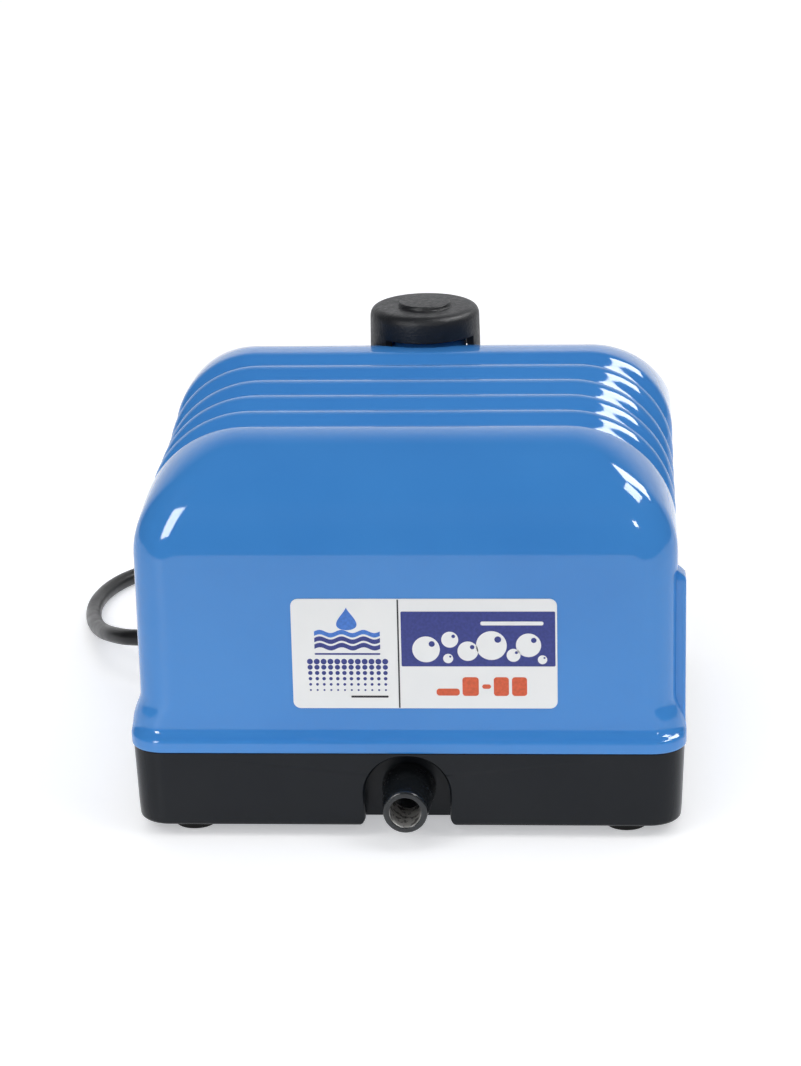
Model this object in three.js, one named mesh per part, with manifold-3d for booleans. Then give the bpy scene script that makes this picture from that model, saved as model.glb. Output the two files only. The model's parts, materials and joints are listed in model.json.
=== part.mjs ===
// Electromagnetic diaphragm air pump for a fish pond. Millimetres, +Z up, the outlet faces -Y.
// Origin: on the floor, under the middle of the pump's own box (nozzle included, lead left out).
import * as THREE from 'three';
import { mergeVertices } from 'three/addons/utils/BufferGeometryUtils.js';
import Module from 'manifold-3d';

const wasm = await Module();
wasm.setup();

// ---- Driving dimensions -------------------------------------------------------------------
const GAP = 0.3; // clearance between neighbouring pieces
const SKIRT_WIDTH = 180; // widest part: the flange round the cover's lower edge
const HOUSING_LENGTH = 176; // the same flange, front to rear
const SKIRT_CORNER = 11;
const SKIRT_TOP_INSET = 3; // how far the walls stand behind the flange
const FOOT_HEIGHT = 4;
const BASE_TOP = 29.7;
const COVER_BOTTOM = BASE_TOP + GAP;
const LIP_HEIGHT = 4.3;
const FLARE_TOP = 46; // where the flange has faded into the wall
const WALL_TOP = 96.2; // the front wall turns into the front shoulder here
const CREST_HEIGHT = 128.8;
const FRONT_SHOULDER = CREST_HEIGHT - WALL_TOP;
const REAR_SHOULDER = 46;
const RIB_PITCH = 17.9;
const FLUTE_COUNT = 5;
const FLUTE_DEPTH = 3;
const WALL_CORNER = 12; // upright corners of the walls
const TOP_CORNER = 35; // rounding between the side walls and the top, seen from the front
const REAR_TOP_CORNER = 30;
const COVER_WALL = 2.6;
const BASE_WALL = 3;
const NOZZLE_HEIGHT = 14.1;
const NOZZLE_REACH = 10.5; // how far the tip stands in front of the flange
const NOZZLE_LENGTH = 21;
const NOZZLE_ROOT_RADIUS = 8.8;
const NOZZLE_TIP_RADIUS = 7.1;
const NOZZLE_BORE = 4.95;
const RECESS_WIDTH = 27.4;
const RECESS_TOP = 28.4;
const CAP_RADIUS = 19.5;
const CAP_TOP = 140.2;
const CAP_RIM = 121.5;
const CAP_SETBACK = 25; // cap axis behind the rear crest
const MOTOR_HEIGHT = 66; // axis of the armature
const MOTOR_Y = -4;
const DIAPHRAGM_X = 41;
const CORD_RADIUS = 3;

const HALF_X = SKIRT_WIDTH / 2;
const HALF_Y = HOUSING_LENGTH / 2;
const WALL_X = HALF_X - SKIRT_TOP_INSET;
const WALL_Y = HALF_Y - SKIRT_TOP_INSET;
const FRONT_CREST_Y = -WALL_Y + FRONT_SHOULDER;
const REAR_CREST_Y = FRONT_CREST_Y + FLUTE_COUNT * RIB_PITCH;
const CAP_Y = REAR_CREST_Y + CAP_SETBACK;
const NOZZLE_TIP_Y = -HALF_Y - NOZZLE_REACH;
const NOZZLE_ROOT_Y = NOZZLE_TIP_Y + NOZZLE_LENGTH;

// ---- Materials ----------------------------------------------------------------------------
const finish = (color, roughness, metalness = 0) =>
  new THREE.MeshStandardMaterial({ color, roughness, metalness });
const bluePaint = finish(0x4289d3, 0.15);
const blackPlastic = finish(0x282c30, 0.25);
const capPlastic = finish(0x2a2c30, 0.6);
const rubber = finish(0x18181a, 0.7);
const castMetal = finish(0x1c1c1e, 0.4, 0.5);
const steel = finish(0xb4b6ba, 0.35, 1);
const laminatedSteel = finish(0x6a6c70, 0.5, 1);
const copper = finish(0xb8683a, 0.35, 1);
const palePlastic = finish(0xd8d6cc, 0.5);
const aluminium = finish(0xa8aaae, 0.4, 1);
const sticker = finish(0xf2f2f0, 0.35);
const foam = finish(0x303236, 0.95);
const brass = finish(0xc8a050, 0.3, 1);

// ---- Solids -------------------------------------------------------------------------------
function solid(geometry) {
  const bare = geometry.clone();
  bare.deleteAttribute('normal');
  bare.deleteAttribute('uv');
  const merged = mergeVertices(bare, 1e-4);
  const corners = [...merged.index.array];
  const triangles = [];
  for (let start = 0; start < corners.length; start += 3) {
    const [a, b, c] = corners.slice(start, start + 3);
    if (a !== b && b !== c && c !== a) triangles.push(a, b, c);
  }
  return new wasm.Manifold(new wasm.Mesh({
    numProp: 3,
    vertProperties: new Float32Array(merged.attributes.position.array),
    triVerts: new Uint32Array(triangles),
  }));
}

function geometryOf(manifold) {
  const mesh = manifold.getMesh();
  const geometry = new THREE.BufferGeometry();
  geometry.setAttribute('position', new THREE.BufferAttribute(mesh.vertProperties, 3));
  geometry.setIndex(new THREE.BufferAttribute(mesh.triVerts, 1));
  return geometry;
}

const join = (first, ...rest) => rest.reduce((sum, item) => sum.add(item), first);
const cut = (first, ...rest) => rest.reduce((left, item) => left.subtract(item), first);

function block(sizeX, sizeY, sizeZ, x, y, z) {
  return solid(new THREE.BoxGeometry(sizeX, sizeY, sizeZ).translate(x, y, z));
}

// A cylinder or cone from one point along an axis: 'x', 'y' or 'z'.
function rod(axis, radius, length, x, y, z, sides = 20, endRadius = radius) {
  const geometry = new THREE.CylinderGeometry(endRadius, radius, length, sides);
  geometry.translate(0, length / 2, 0);
  if (axis === 'x') geometry.rotateZ(-Math.PI / 2);
  if (axis === 'z') geometry.rotateX(Math.PI / 2);
  return solid(geometry.translate(x, y, z));
}

// A turned piece. The profile is a list of [radius, height] points, closed on the axis or on itself.
function turned(profile, sides = 24) {
  const points = profile.map(([radius, height]) => new THREE.Vector2(radius, height));
  return new THREE.LatheGeometry(points, sides).rotateX(Math.PI / 2);
}

// A ring, disc or sleeve of rectangular section round Z.
function ring(inner, outer, bottom, top, sides = 24) {
  const profile = [[inner, bottom], [outer, bottom], [outer, top], [inner, top], [inner, bottom]];
  return turned(profile, sides);
}

// Corner points of a rounded rectangle, counterclockwise.
function roundedOutline(halfX, halfY, radius, steps = 5) {
  const points = [];
  for (let corner = 0; corner < 4; corner += 1) {
    const signX = corner === 0 || corner === 3 ? 1 : -1;
    const signY = corner < 2 ? 1 : -1;
    for (let step = 0; step <= steps; step += 1) {
      const angle = (corner + step / steps) * Math.PI / 2;
      points.push([
        signX * (halfX - radius) + radius * Math.cos(angle),
        signY * (halfY - radius) + radius * Math.sin(angle),
      ]);
    }
  }
  return points;
}

// Skin through a stack of convex rings of [x, y, z] points, closed at both ends.
function loft(rings) {
  const count = rings[0].length;
  const positions = rings.flat(2);
  const indices = [];
  for (let level = 0; level + 1 < rings.length; level += 1) {
    for (let point = 0; point < count; point += 1) {
      const a = level * count + point;
      const b = level * count + (point + 1) % count;
      indices.push(a, b, b + count, a, b + count, a + count);
    }
  }
  const last = (rings.length - 1) * count;
  for (let point = 1; point + 1 < count; point += 1) {
    indices.push(0, point + 1, point);
    indices.push(last, last + point, last + point + 1);
  }
  const geometry = new THREE.BufferGeometry();
  geometry.setAttribute('position', new THREE.Float32BufferAttribute(positions, 3));
  geometry.setIndex(indices);
  return solid(geometry);
}

// Stacked rounded rectangles, given as [height, halfX, halfY, cornerRadius].
function stack(levels, steps = 5) {
  return loft(levels.map(([z, halfX, halfY, radius]) =>
    roundedOutline(halfX, halfY, radius, steps).map(([x, y]) => [x, y, z])));
}

function slab(halfX, halfY, radius, bottom, top, steps = 5) {
  return stack([[bottom, halfX, halfY, radius], [top, halfX, halfY, radius]], steps);
}

// An even tube along a list of points: a rod, or a pipe when a bore is given.
function tube(points, radius, steps, sides = 8, bore = 0) {
  const section = new THREE.Shape(circle(radius, sides));
  if (bore > 0) section.holes.push(new THREE.Path(circle(bore, sides).reverse()));
  const path = new THREE.CatmullRomCurve3(points.map((p) => new THREE.Vector3(...p)), false, 'centripetal');
  return new THREE.ExtrudeGeometry(section, { steps, extrudePath: path, bevelEnabled: false });
}

function circle(radius, sides) {
  const corners = [];
  for (let side = 0; side < sides; side += 1) {
    const angle = side / sides * 2 * Math.PI;
    corners.push(new THREE.Vector2(radius * Math.cos(angle), radius * Math.sin(angle)));
  }
  return corners;
}

// ---- Assembly -----------------------------------------------------------------------------
const pump = new THREE.Group();
pump.position.y = NOZZLE_REACH / 2;

function add(name, shape, material, x = 0, y = 0, z = 0) {
  const geometry = shape.isBufferGeometry ? shape : geometryOf(shape);
  const mesh = new THREE.Mesh(geometry, material);
  mesh.name = name;
  mesh.position.set(x, y, z);
  pump.add(mesh);
  return mesh;
}

const SIDES = [['left', -1], ['right', 1]];
const CORNERS = [
  ['front_left', -1, -1],
  ['front_right', 1, -1],
  ['rear_left', -1, 1],
  ['rear_right', 1, 1],
];
const SCREW_X = 56;
const SCREW_Y = 78;
const SCREW_RADIUS = 2;
const FOOT_X = 70.6;
const FOOT_Y = HALF_Y - 14.7;

// ---- Top cover ----------------------------------------------------------------------------
const FILTER_RADIUS = 11.4;
const FILTER_BOTTOM = CREST_HEIGHT - 3;
const SEAL_HEIGHT = 2;

// Depth of the shoulder's fall at a distance inside a wall, for a quarter-round of one radius.
function shoulderFall(distance, radius) {
  const inside = Math.min(Math.max(radius - distance, 0), radius);
  return radius - Math.sqrt(radius * radius - inside * inside);
}

function fluteDepth(y) {
  if (y <= FRONT_CREST_Y || y >= REAR_CREST_Y) return 0;
  const phase = (y - FRONT_CREST_Y) / RIB_PITCH * 2 * Math.PI;
  return FLUTE_DEPTH * (1 - Math.cos(phase)) / 2;
}

// Half width, height and corner rounding of the cover's cross-section at a place along Y.
function coverSection(y) {
  const fromFront = y + WALL_Y;
  const fromRear = WALL_Y - y;
  const sideFall = shoulderFall(fromFront, WALL_CORNER) + shoulderFall(fromRear, WALL_CORNER);
  const topFall = shoulderFall(fromFront, FRONT_SHOULDER) + shoulderFall(fromRear, REAR_SHOULDER);
  const flute = fluteDepth(y);
  const rearward = Math.min(Math.max((y - FRONT_CREST_Y - 3 * RIB_PITCH) / (2 * RIB_PITCH), 0), 1);
  return {
    halfWidth: WALL_X - sideFall - flute,
    height: CREST_HEIGHT - topFall - flute,
    corner: Math.max(THREE.MathUtils.lerp(TOP_CORNER, REAR_TOP_CORNER, rearward) - topFall, 3),
  };
}

// One upright arch: straight sides, rounded upper corners, flat bottom.
function archRing(y, halfWidth, height, corner, bottom, steps) {
  const points = [[-halfWidth, y, bottom]];
  for (const [, side] of SIDES) {
    for (let step = 0; step <= steps; step += 1) {
      const turn = step / steps * Math.PI / 2;
      const angle = side < 0 ? Math.PI - turn : Math.PI / 2 - turn;
      points.push([
        side * (halfWidth - corner) + corner * Math.cos(angle),
        y,
        height - corner + corner * Math.sin(angle),
      ]);
    }
  }
  points.push([halfWidth, y, bottom]);
  return points;
}

// Places along Y where the cover's outer section is taken.
function coverStations() {
  const stations = [];
  for (const angle of [0, 6, 14, 25, 38, 51, 64, 78]) {
    stations.push(-WALL_Y + FRONT_SHOULDER * (1 - Math.cos(THREE.MathUtils.degToRad(angle))));
  }
  const fluteSteps = 6;
  for (let step = 0; step <= FLUTE_COUNT * fluteSteps; step += 1) {
    stations.push(FRONT_CREST_Y + step / fluteSteps * RIB_PITCH);
  }
  for (const angle of [78, 65, 52, 40, 28, 17, 8, 0]) {
    stations.push(WALL_Y - REAR_SHOULDER * (1 - Math.cos(THREE.MathUtils.degToRad(angle))));
  }
  return stations;
}

function makeTopCover() {
  const bandTop = FLARE_TOP + 1;
  const shell = loft(coverStations().map((y) => {
    const { halfWidth, height, corner } = coverSection(y);
    return archRing(y, halfWidth, height, corner, FLARE_TOP - 4, 6);
  }));
  const flange = stack([
    [COVER_BOTTOM, HALF_X, HALF_Y, SKIRT_CORNER],
    [COVER_BOTTOM + LIP_HEIGHT, HALF_X, HALF_Y, SKIRT_CORNER],
    [COVER_BOTTOM + LIP_HEIGHT + 0.4, HALF_X - 0.1, HALF_Y - 1.3, SKIRT_CORNER],
    [COVER_BOTTOM + LIP_HEIGHT + 1.6, HALF_X - 0.3, HALF_Y - 2.4, SKIRT_CORNER],
    [COVER_BOTTOM + 9, HALF_X - 0.6, HALF_Y - 2.9, SKIRT_CORNER + 0.4],
    [COVER_BOTTOM + 12, HALF_X - 1.6, WALL_Y, SKIRT_CORNER + 0.8],
    [FLARE_TOP, WALL_X, WALL_Y, WALL_CORNER],
    [bandTop, WALL_X, WALL_Y, WALL_CORNER],
  ]);
  // Upright rib near the front of the right-hand wall, with a sloping upper end.
  const ribTop = 88.2;
  const rib = stack([
    [COVER_BOTTOM + 3, 5, 3.9, 0.8],
    [ribTop - 2.2, 5, 3.9, 0.8],
    [ribTop, 2.6, 3.6, 0.6],
  ], 2).translate([HALF_X - 5.4, -72.6, 0]);
  const seatRadius = CAP_RADIUS - 5;
  const seat = rod('z', seatRadius, 40, 0, CAP_Y, CREST_HEIGHT - 37, 24);
  const pocket = rod('z', CAP_RADIUS + 1, 40, 0, CAP_Y, CAP_RIM - 0.5, 24);
  const outer = join(join(shell, flange, rib).subtract(pocket), seat);

  const inside = COVER_WALL + FLUTE_DEPTH;
  const innerStations = [-WALL_Y + inside];
  for (const angle of [22, 42, 62]) {
    innerStations.push(-WALL_Y + FRONT_SHOULDER * (1 - Math.cos(THREE.MathUtils.degToRad(angle))));
  }
  innerStations.push(FRONT_CREST_Y, FRONT_CREST_Y + 3 * RIB_PITCH, REAR_CREST_Y - 0.01);
  for (const angle of [66, 48, 32, 20]) {
    innerStations.push(WALL_Y - REAR_SHOULDER * (1 - Math.cos(THREE.MathUtils.degToRad(angle))));
  }
  const upperRoom = loft(innerStations.map((y) => {
    const { halfWidth, height, corner } = coverSection(y);
    const flute = fluteDepth(y);
    return archRing(y, halfWidth + flute - inside, height + flute - inside, corner - 3, FLARE_TOP - 8, 4);
  }));
  const wall = 5.2;
  const lowerRoom = slab(HALF_X - wall, HALF_Y - wall, SKIRT_CORNER - 3, COVER_BOTTOM - 1, FLARE_TOP - 7, 3);
  const groove = sealSolid(GAP, COVER_BOTTOM - 1, COVER_BOTTOM + SEAL_HEIGHT + GAP);

  // Under the cap the shell is deeper, so the pocket keeps its floor.
  const floorUnderCap = rod('z', CAP_RADIUS + 3.5, 12, 0, CAP_Y, CAP_RIM - 12, 16);
  const cavity = join(upperRoom, lowerRoom).subtract(floorUnderCap);
  let cover = outer.subtract(cavity).subtract(groove);

  // Screw pillars stand on the side of the shell and reach down to the base.
  const pillarTop = 62;
  for (const [, signX, signY] of CORNERS) {
    const x = signX * SCREW_X;
    const y = signY * SCREW_Y;
    const pillar = block(10, 9, pillarTop - COVER_BOTTOM, x, y + signY * 1.5, (pillarTop + COVER_BOTTOM) / 2);
    const pilot = rod('z', SCREW_RADIUS + GAP, 24, x, y, COVER_BOTTOM - 1, 12);
    cover = cover.add(pillar).subtract(pilot);
  }
  // Air way: a filter seat on top of the pedestal, and a hole down into the housing.
  const filterRoom = rod('z', FILTER_RADIUS + GAP, 10, 0, CAP_Y, FILTER_BOTTOM - GAP, 24);
  const airHole = rod('z', 7, 60, 0, CAP_Y, 85, 16);
  return cover.subtract(filterRoom).subtract(airHole);
}

// Cord seal round the rim; grow makes the groove that it lies in.
function sealSolid(grow, bottom, top) {
  const middle = 2.7;
  const half = 1 + grow;
  const outer = slab(HALF_X - middle + half, HALF_Y - middle + half, SKIRT_CORNER - 1.5, bottom, top, 4);
  const inner = slab(HALF_X - middle - half, HALF_Y - middle - half, SKIRT_CORNER - 3, bottom - 1, top + 1, 4);
  return outer.subtract(inner);
}

add('top_cover', makeTopCover(), bluePaint);
add('cover_gasket', sealSolid(0, COVER_BOTTOM, COVER_BOTTOM + SEAL_HEIGHT), rubber);

// ---- Base ---------------------------------------------------------------------------------
const STRAIN_RELIEF_Y = 53.75;
const STRAIN_RELIEF_Z = 16;

// An arch-topped block that runs along Y, for the hollow round the outlet and its walls.
function recessBlock(halfWidth, top, frontY, rearY, bottom) {
  const corner = 10;
  return loft([frontY, rearY].map((y) => archRing(y, halfWidth, top, corner, bottom, 4)));
}

function makeBase() {
  const outer = stack([
    [FOOT_HEIGHT, HALF_X - 3.4, HALF_Y - 3.4, 9.3],
    [FOOT_HEIGHT + 0.6, HALF_X - 2.1, HALF_Y - 2.1, 9.9],
    [FOOT_HEIGHT + 2, HALF_X - 1.5, HALF_Y - 1.5, 10.2],
    [BASE_TOP, HALF_X - 0.6, HALF_Y - 0.6, SKIRT_CORNER - 0.4],
  ]);
  const floor = FOOT_HEIGHT + BASE_WALL;
  const inner = slab(HALF_X - 5.4, HALF_Y - 5.4, 7, floor, BASE_TOP + 1, 4);
  const pocketWall = 2.6;
  const pocketRear = NOZZLE_ROOT_Y + GAP;
  const pocketOuter = recessBlock(RECESS_WIDTH / 2 + pocketWall, BASE_TOP - 0.01, -HALF_Y + 4,
    pocketRear + pocketWall, FOOT_HEIGHT + 1);
  const pocket = recessBlock(RECESS_WIDTH / 2, RECESS_TOP, -HALF_Y - 2, pocketRear, FOOT_HEIGHT - 2);
  let base = outer.subtract(inner);
  for (const [, signX, signY] of CORNERS) {
    const boss = rod('z', 5, BASE_TOP - floor + 0.5, signX * SCREW_X, signY * SCREW_Y, floor - 0.5, 16);
    base = base.add(boss);
  }
  base = base.add(pocketOuter).subtract(pocket);
  for (const [, signX, signY] of CORNERS) {
    const x = signX * SCREW_X;
    const y = signY * SCREW_Y;
    base = base.subtract(rod('z', SCREW_RADIUS + GAP, 40, x, y, 0, 12));
    base = base.subtract(rod('z', 4, 12, x, y, 0, 16));
    base = base.subtract(rod('z', 2.2, 12, signX * FOOT_X, signY * FOOT_Y, 0, 12));
  }
  const nozzleHole = rod('y', 5.9, 12, 0, NOZZLE_ROOT_Y - 4, NOZZLE_HEIGHT, 20);
  const cordHole = rod('x', 5.8, 20, -HALF_X - 6, STRAIN_RELIEF_Y, STRAIN_RELIEF_Z, 16);
  return base.subtract(nozzleHole).subtract(cordHole);
}

add('base_casing', makeBase(), blackPlastic);

for (const [place, signX, signY] of CORNERS) {
  const profile = [
    [0, 0], [6.2, 0], [7.2, 0.7], [7.5, 1.8], [7.5, FOOT_HEIGHT - GAP - 0.5],
    [7.2, FOOT_HEIGHT - GAP], [1.9, FOOT_HEIGHT - GAP], [1.9, 10], [0, 10],
  ];
  add(`foot_${place}`, turned(profile, 14), rubber, signX * FOOT_X, signY * FOOT_Y, 0);
  const screwProfile = [[0, 8.2], [3.5, 8.2], [3.5, 10.6], [SCREW_RADIUS, 11.7], [SCREW_RADIUS, 50], [0, 51.5]];
  const head = solid(turned(screwProfile, 10));
  const slot = block(1, 5, 2, 0, 0, 8.2);
  const crossSlot = block(5, 1, 2, 0, 0, 8.2);
  add(`cover_screw_${place}`, cut(head, slot, crossSlot), steel, signX * SCREW_X, signY * SCREW_Y, 0);
}

// ---- Outlet nozzle: turned about its own axis, then laid along Y ---------------------------
const nozzleProfile = [
  [NOZZLE_BORE, 0.4], [NOZZLE_BORE + 0.4, 0], [NOZZLE_TIP_RADIUS - 0.8, 0], [NOZZLE_TIP_RADIUS, 0.9],
  [NOZZLE_ROOT_RADIUS, NOZZLE_LENGTH], [5.6, NOZZLE_LENGTH], [5.6, 27], [4.4, 28], [4.4, 40], [2.8, 40],
  [2.8, 17], [NOZZLE_BORE, 15.5], [NOZZLE_BORE, 0.4],
];
const nozzle = add('outlet_nozzle', turned(nozzleProfile, 22), castMetal, 0, NOZZLE_TIP_Y, NOZZLE_HEIGHT);
nozzle.rotation.x = -Math.PI / 2;

// ---- Intake cap and filter ----------------------------------------------------------------
function makeCap() {
  const discRadius = 9.2;
  const top = CAP_TOP - 1.4;
  const profile = [
    [0, CAP_TOP], [discRadius - 1, CAP_TOP], [discRadius, CAP_TOP - 0.8], [discRadius + 0.2, top],
    [CAP_RADIUS - 3.7, top], [CAP_RADIUS - 2, top - 0.5], [CAP_RADIUS - 0.8, top - 1.6],
    [CAP_RADIUS - 0.3, top - 3.2],
    [CAP_RADIUS, CAP_RIM], [CAP_RADIUS - 1.8, CAP_RIM], [CAP_RADIUS - 2.4, top - 4],
    [CAP_RADIUS - 4.2, top - 2.4], [0, top - 2.4],
  ].reverse();
  let cap = solid(turned(profile, 28));
  const windowTop = CAP_RIM + 7.7;
  for (const turn of [-76, 104]) {
    const opening = new THREE.BoxGeometry(16, 31, 12).translate(CAP_RADIUS, 0, windowTop - 6);
    cap = cap.subtract(solid(opening.rotateZ(THREE.MathUtils.degToRad(turn))));
  }
  // Four grip ribs centre the cap on the pedestal.
  for (const turn of [0, 28, 180, 208]) {
    const rib = new THREE.BoxGeometry(2.6, 1.6, 9).translate(CAP_RADIUS - 3, 0, CAP_RIM + 9);
    cap = cap.add(solid(rib.rotateZ(THREE.MathUtils.degToRad(turn))));
  }
  return cap;
}

add('intake_cap', makeCap(), capPlastic, 0, CAP_Y, 0);
add('intake_filter', turned([[0, 0], [FILTER_RADIUS, 0], [FILTER_RADIUS, 5], [0, 5]], 20), foam,
  0, CAP_Y, FILTER_BOTTOM);

// ---- Label on the front wall --------------------------------------------------------------
const label = slab(42.3, 18.6, 2.4, 0, 0.35, 3);
const labelMesh = add('front_label', label, sticker, 6.4, -WALL_Y - GAP, 63.4);
labelMesh.rotation.x = Math.PI / 2;

// ---- Motor --------------------------------------------------------------------------------
const motor = new THREE.Group();
motor.position.set(0, MOTOR_Y, 0);
pump.add(motor);

function addMotor(name, shape, material, x = 0, y = 0, z = 0) {
  const mesh = add(name, shape, material, x, y, z);
  motor.add(mesh);
  return mesh;
}

const PLATE_THICK = 3;
const PLATE_X = DIAPHRAGM_X - 0.8 - GAP - PLATE_THICK; // inner face of each upright end plate
const FRAME_BOTTOM = 26;
const FRAME_TOP = 98;
const FRAME_HALF_Y = 34;
const MOUNT_X = 26;
const MOUNT_Y = 40;
const DIAPHRAGM_RADIUS = 25;
const POLE_FACE_Y = 7;
const CORE_DEPTH = 24;
const CORE_HEIGHT = 30;
const CORE_HALF_X = 28;
const CENTRE_LEG = 14;
const OUTER_LEG = 8;
const YOKE = 8;

function makeMotorFrame() {
  const tray = block(2 * (PLATE_X + PLATE_THICK), 2 * FRAME_HALF_Y, 2.5, 0, 0, FRAME_BOTTOM + 1.25);
  let frame = tray;
  for (const [, sign] of SIDES) {
    const x = sign * (PLATE_X + PLATE_THICK / 2);
    const upright = block(PLATE_THICK, 2 * FRAME_HALF_Y - 6, FRAME_TOP - FRAME_BOTTOM, x, 0,
      (FRAME_TOP + FRAME_BOTTOM) / 2);
    frame = frame.add(upright);
    frame = frame.add(block(2 * MOUNT_X + 16, 16, 2.5, 0, sign * (MOUNT_Y - 1), FRAME_BOTTOM + 1.25));
    // A bracket under each core.
    const bracketTop = MOTOR_HEIGHT - CORE_HEIGHT / 2 - GAP;
    const bracketY = sign * (POLE_FACE_Y + CORE_DEPTH - 3.5);
    frame = frame.add(block(50, 6, bracketTop - FRAME_BOTTOM, 0, bracketY, (bracketTop + FRAME_BOTTOM) / 2));
  }
  const opening = rod('x', DIAPHRAGM_RADIUS - 4, 120, -60, 0, MOTOR_HEIGHT, 20);
  frame = frame.subtract(opening);
  for (const [, signX, signY] of CORNERS) {
    frame = frame.subtract(rod('z', 3.3, 10, signX * MOUNT_X, signY * MOUNT_Y, FRAME_BOTTOM - 3, 12));
  }
  return frame;
}

addMotor('motor_frame', makeMotorFrame(), steel);

for (const [place, signX, signY] of CORNERS) {
  const bottom = FOOT_HEIGHT + BASE_WALL + GAP;
  const top = FRAME_BOTTOM - GAP;
  const profile = [
    [0, bottom], [7, bottom], [7, bottom + 3], [4.8, bottom + 6], [4.8, top - 6], [7, top - 3], [7, top],
    [3, top], [3, top + 5], [0, top + 5],
  ];
  addMotor(`isolation_mount_${place}`, turned(profile, 10), rubber, signX * MOUNT_X, signY * MOUNT_Y, 0);
}

// Two E-shaped stacks of laminations face each other across the armature.
function ePlate() {
  const back = POLE_FACE_Y + CORE_DEPTH;
  const root = back - YOKE;
  const halfLeg = CENTRE_LEG / 2;
  const innerEdge = CORE_HALF_X - OUTER_LEG;
  return [
    [-CORE_HALF_X, POLE_FACE_Y], [-innerEdge, POLE_FACE_Y], [-innerEdge, root], [-halfLeg, root],
    [-halfLeg, POLE_FACE_Y], [halfLeg, POLE_FACE_Y], [halfLeg, root], [innerEdge, root],
    [innerEdge, POLE_FACE_Y], [CORE_HALF_X, POLE_FACE_Y], [CORE_HALF_X, back], [-CORE_HALF_X, back],
  ].map(([x, y]) => new THREE.Vector2(x, y));
}

for (const [place, turn] of [['rear', 0], ['front', Math.PI]]) {
  const bottom = MOTOR_HEIGHT - CORE_HEIGHT / 2;
  const coreShape = new THREE.ExtrudeGeometry(new THREE.Shape(ePlate()), {
    depth: CORE_HEIGHT, bevelEnabled: false,
  });
  addMotor(`core_${place}`, coreShape, laminatedSteel, 0, 0, bottom).rotation.z = turn;

  const nearY = POLE_FACE_Y + 1;
  const farY = POLE_FACE_Y + CORE_DEPTH - YOKE - GAP;
  const depth = farY - nearY;
  const boreX = CENTRE_LEG / 2 + GAP;
  const boreZ = CORE_HEIGHT / 2 + GAP;
  const barrelWall = 1.2;
  const flangeReach = 11.6;
  const centre = (nearY + farY) / 2;
  const bore = block(2 * boreX, depth + 2, 2 * boreZ, 0, centre, MOTOR_HEIGHT);
  const barrel = block(2 * (boreX + barrelWall), depth, 2 * (boreZ + barrelWall), 0, centre, MOTOR_HEIGHT);
  const flangeX = 2 * (boreX + flangeReach);
  const flangeZ = 2 * (boreZ + flangeReach);
  const nearFlange = block(flangeX, 1, flangeZ, 0, nearY + 0.5, MOTOR_HEIGHT);
  const farFlange = block(flangeX, 1, flangeZ, 0, farY - 0.5, MOTOR_HEIGHT);
  const bobbin = join(barrel, nearFlange, farFlange).subtract(bore);
  addMotor(`bobbin_${place}`, bobbin, palePlastic).rotation.z = turn;

  const windingReach = 10.4;
  const windingDepth = depth - 2 - 2 * GAP;
  const windingX = boreX + windingReach;
  const windingZ = boreZ + windingReach;
  const outerWinding = slab(windingX, windingZ, 4, 0, windingDepth, 3);
  const innerX = boreX + barrelWall + GAP;
  const innerZ = boreZ + barrelWall + GAP;
  const innerWinding = block(2 * innerX, 2 * innerZ, windingDepth + 2, 0, 0, windingDepth / 2);
  const winding = outerWinding.subtract(innerWinding)
    .rotate([90, 0, 0]).translate([0, farY - 1 - GAP, MOTOR_HEIGHT]);
  addMotor(`winding_${place}`, winding, copper).rotation.z = turn;
}

// ---- Armature: a bar between the cores that carries two magnets and a shaft at each end -----
const MAGNET_X = 12.5;
const MAGNET_HALF_X = 7;
const MAGNET_HALF_Z = 12;
const ARMATURE_THICK = 8;
const SHAFT_RADIUS = 3;
const SHAFT_END = DIAPHRAGM_X + 11.5;

function makeArmature() {
  const bar = block(52, ARMATURE_THICK, 2 * MAGNET_HALF_Z + 8, 0, 0, MOTOR_HEIGHT);
  const shaft = rod('x', SHAFT_RADIUS, 2 * SHAFT_END, -SHAFT_END, 0, MOTOR_HEIGHT, 14);
  let armature = bar.add(shaft);
  for (const [, sign] of SIDES) {
    const hole = block(2 * (MAGNET_HALF_X + GAP), ARMATURE_THICK + 2, 2 * (MAGNET_HALF_Z + GAP),
      sign * MAGNET_X, 0, MOTOR_HEIGHT);
    armature = armature.subtract(hole);
  }
  return armature;
}

addMotor('armature', makeArmature(), palePlastic);
for (const [side, sign] of SIDES) {
  const magnet = block(2 * MAGNET_HALF_X, ARMATURE_THICK, 2 * MAGNET_HALF_Z, sign * MAGNET_X, 0, MOTOR_HEIGHT);
  addMotor(`magnet_${side}`, magnet, laminatedSteel);
}

// ---- Pump ends, one on each side ------------------------------------------------------------
// Turned pieces here are drawn with their height along the shaft, outwards from the motor.
const HEAD_INNER_X = DIAPHRAGM_X + 0.8 + GAP;
const HEAD_OUTER_X = HEAD_INNER_X + 17;
const HEAD_HALF_Y = 30;
const HEAD_HALF_Z = 30;
const CHAMBER_DEPTH = 13.5;
const VALVE_Z = 10;
const PORT_RADIUS = 3;
const COVER_DEPTH = 13;
const SPIGOT_RADIUS = 3.4;
const SPIGOT_BORE = 2.2;
const SPIGOT_LENGTH = 7;
const SPIGOT_X = HEAD_OUTER_X + GAP + COVER_DEPTH / 2;
const HOSE_RADIUS = 5.6;
const HOSE_BORE = SPIGOT_RADIUS + 0.7;
const CHAMBER_HALF_X = 30;
const CHAMBER_Y = -18;
const CHAMBER_Z = 16;

function onShaft(mesh, sign) {
  mesh.rotation.y = sign * Math.PI / 2;
  mesh.position.z = MOTOR_HEIGHT;
  return mesh;
}

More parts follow.
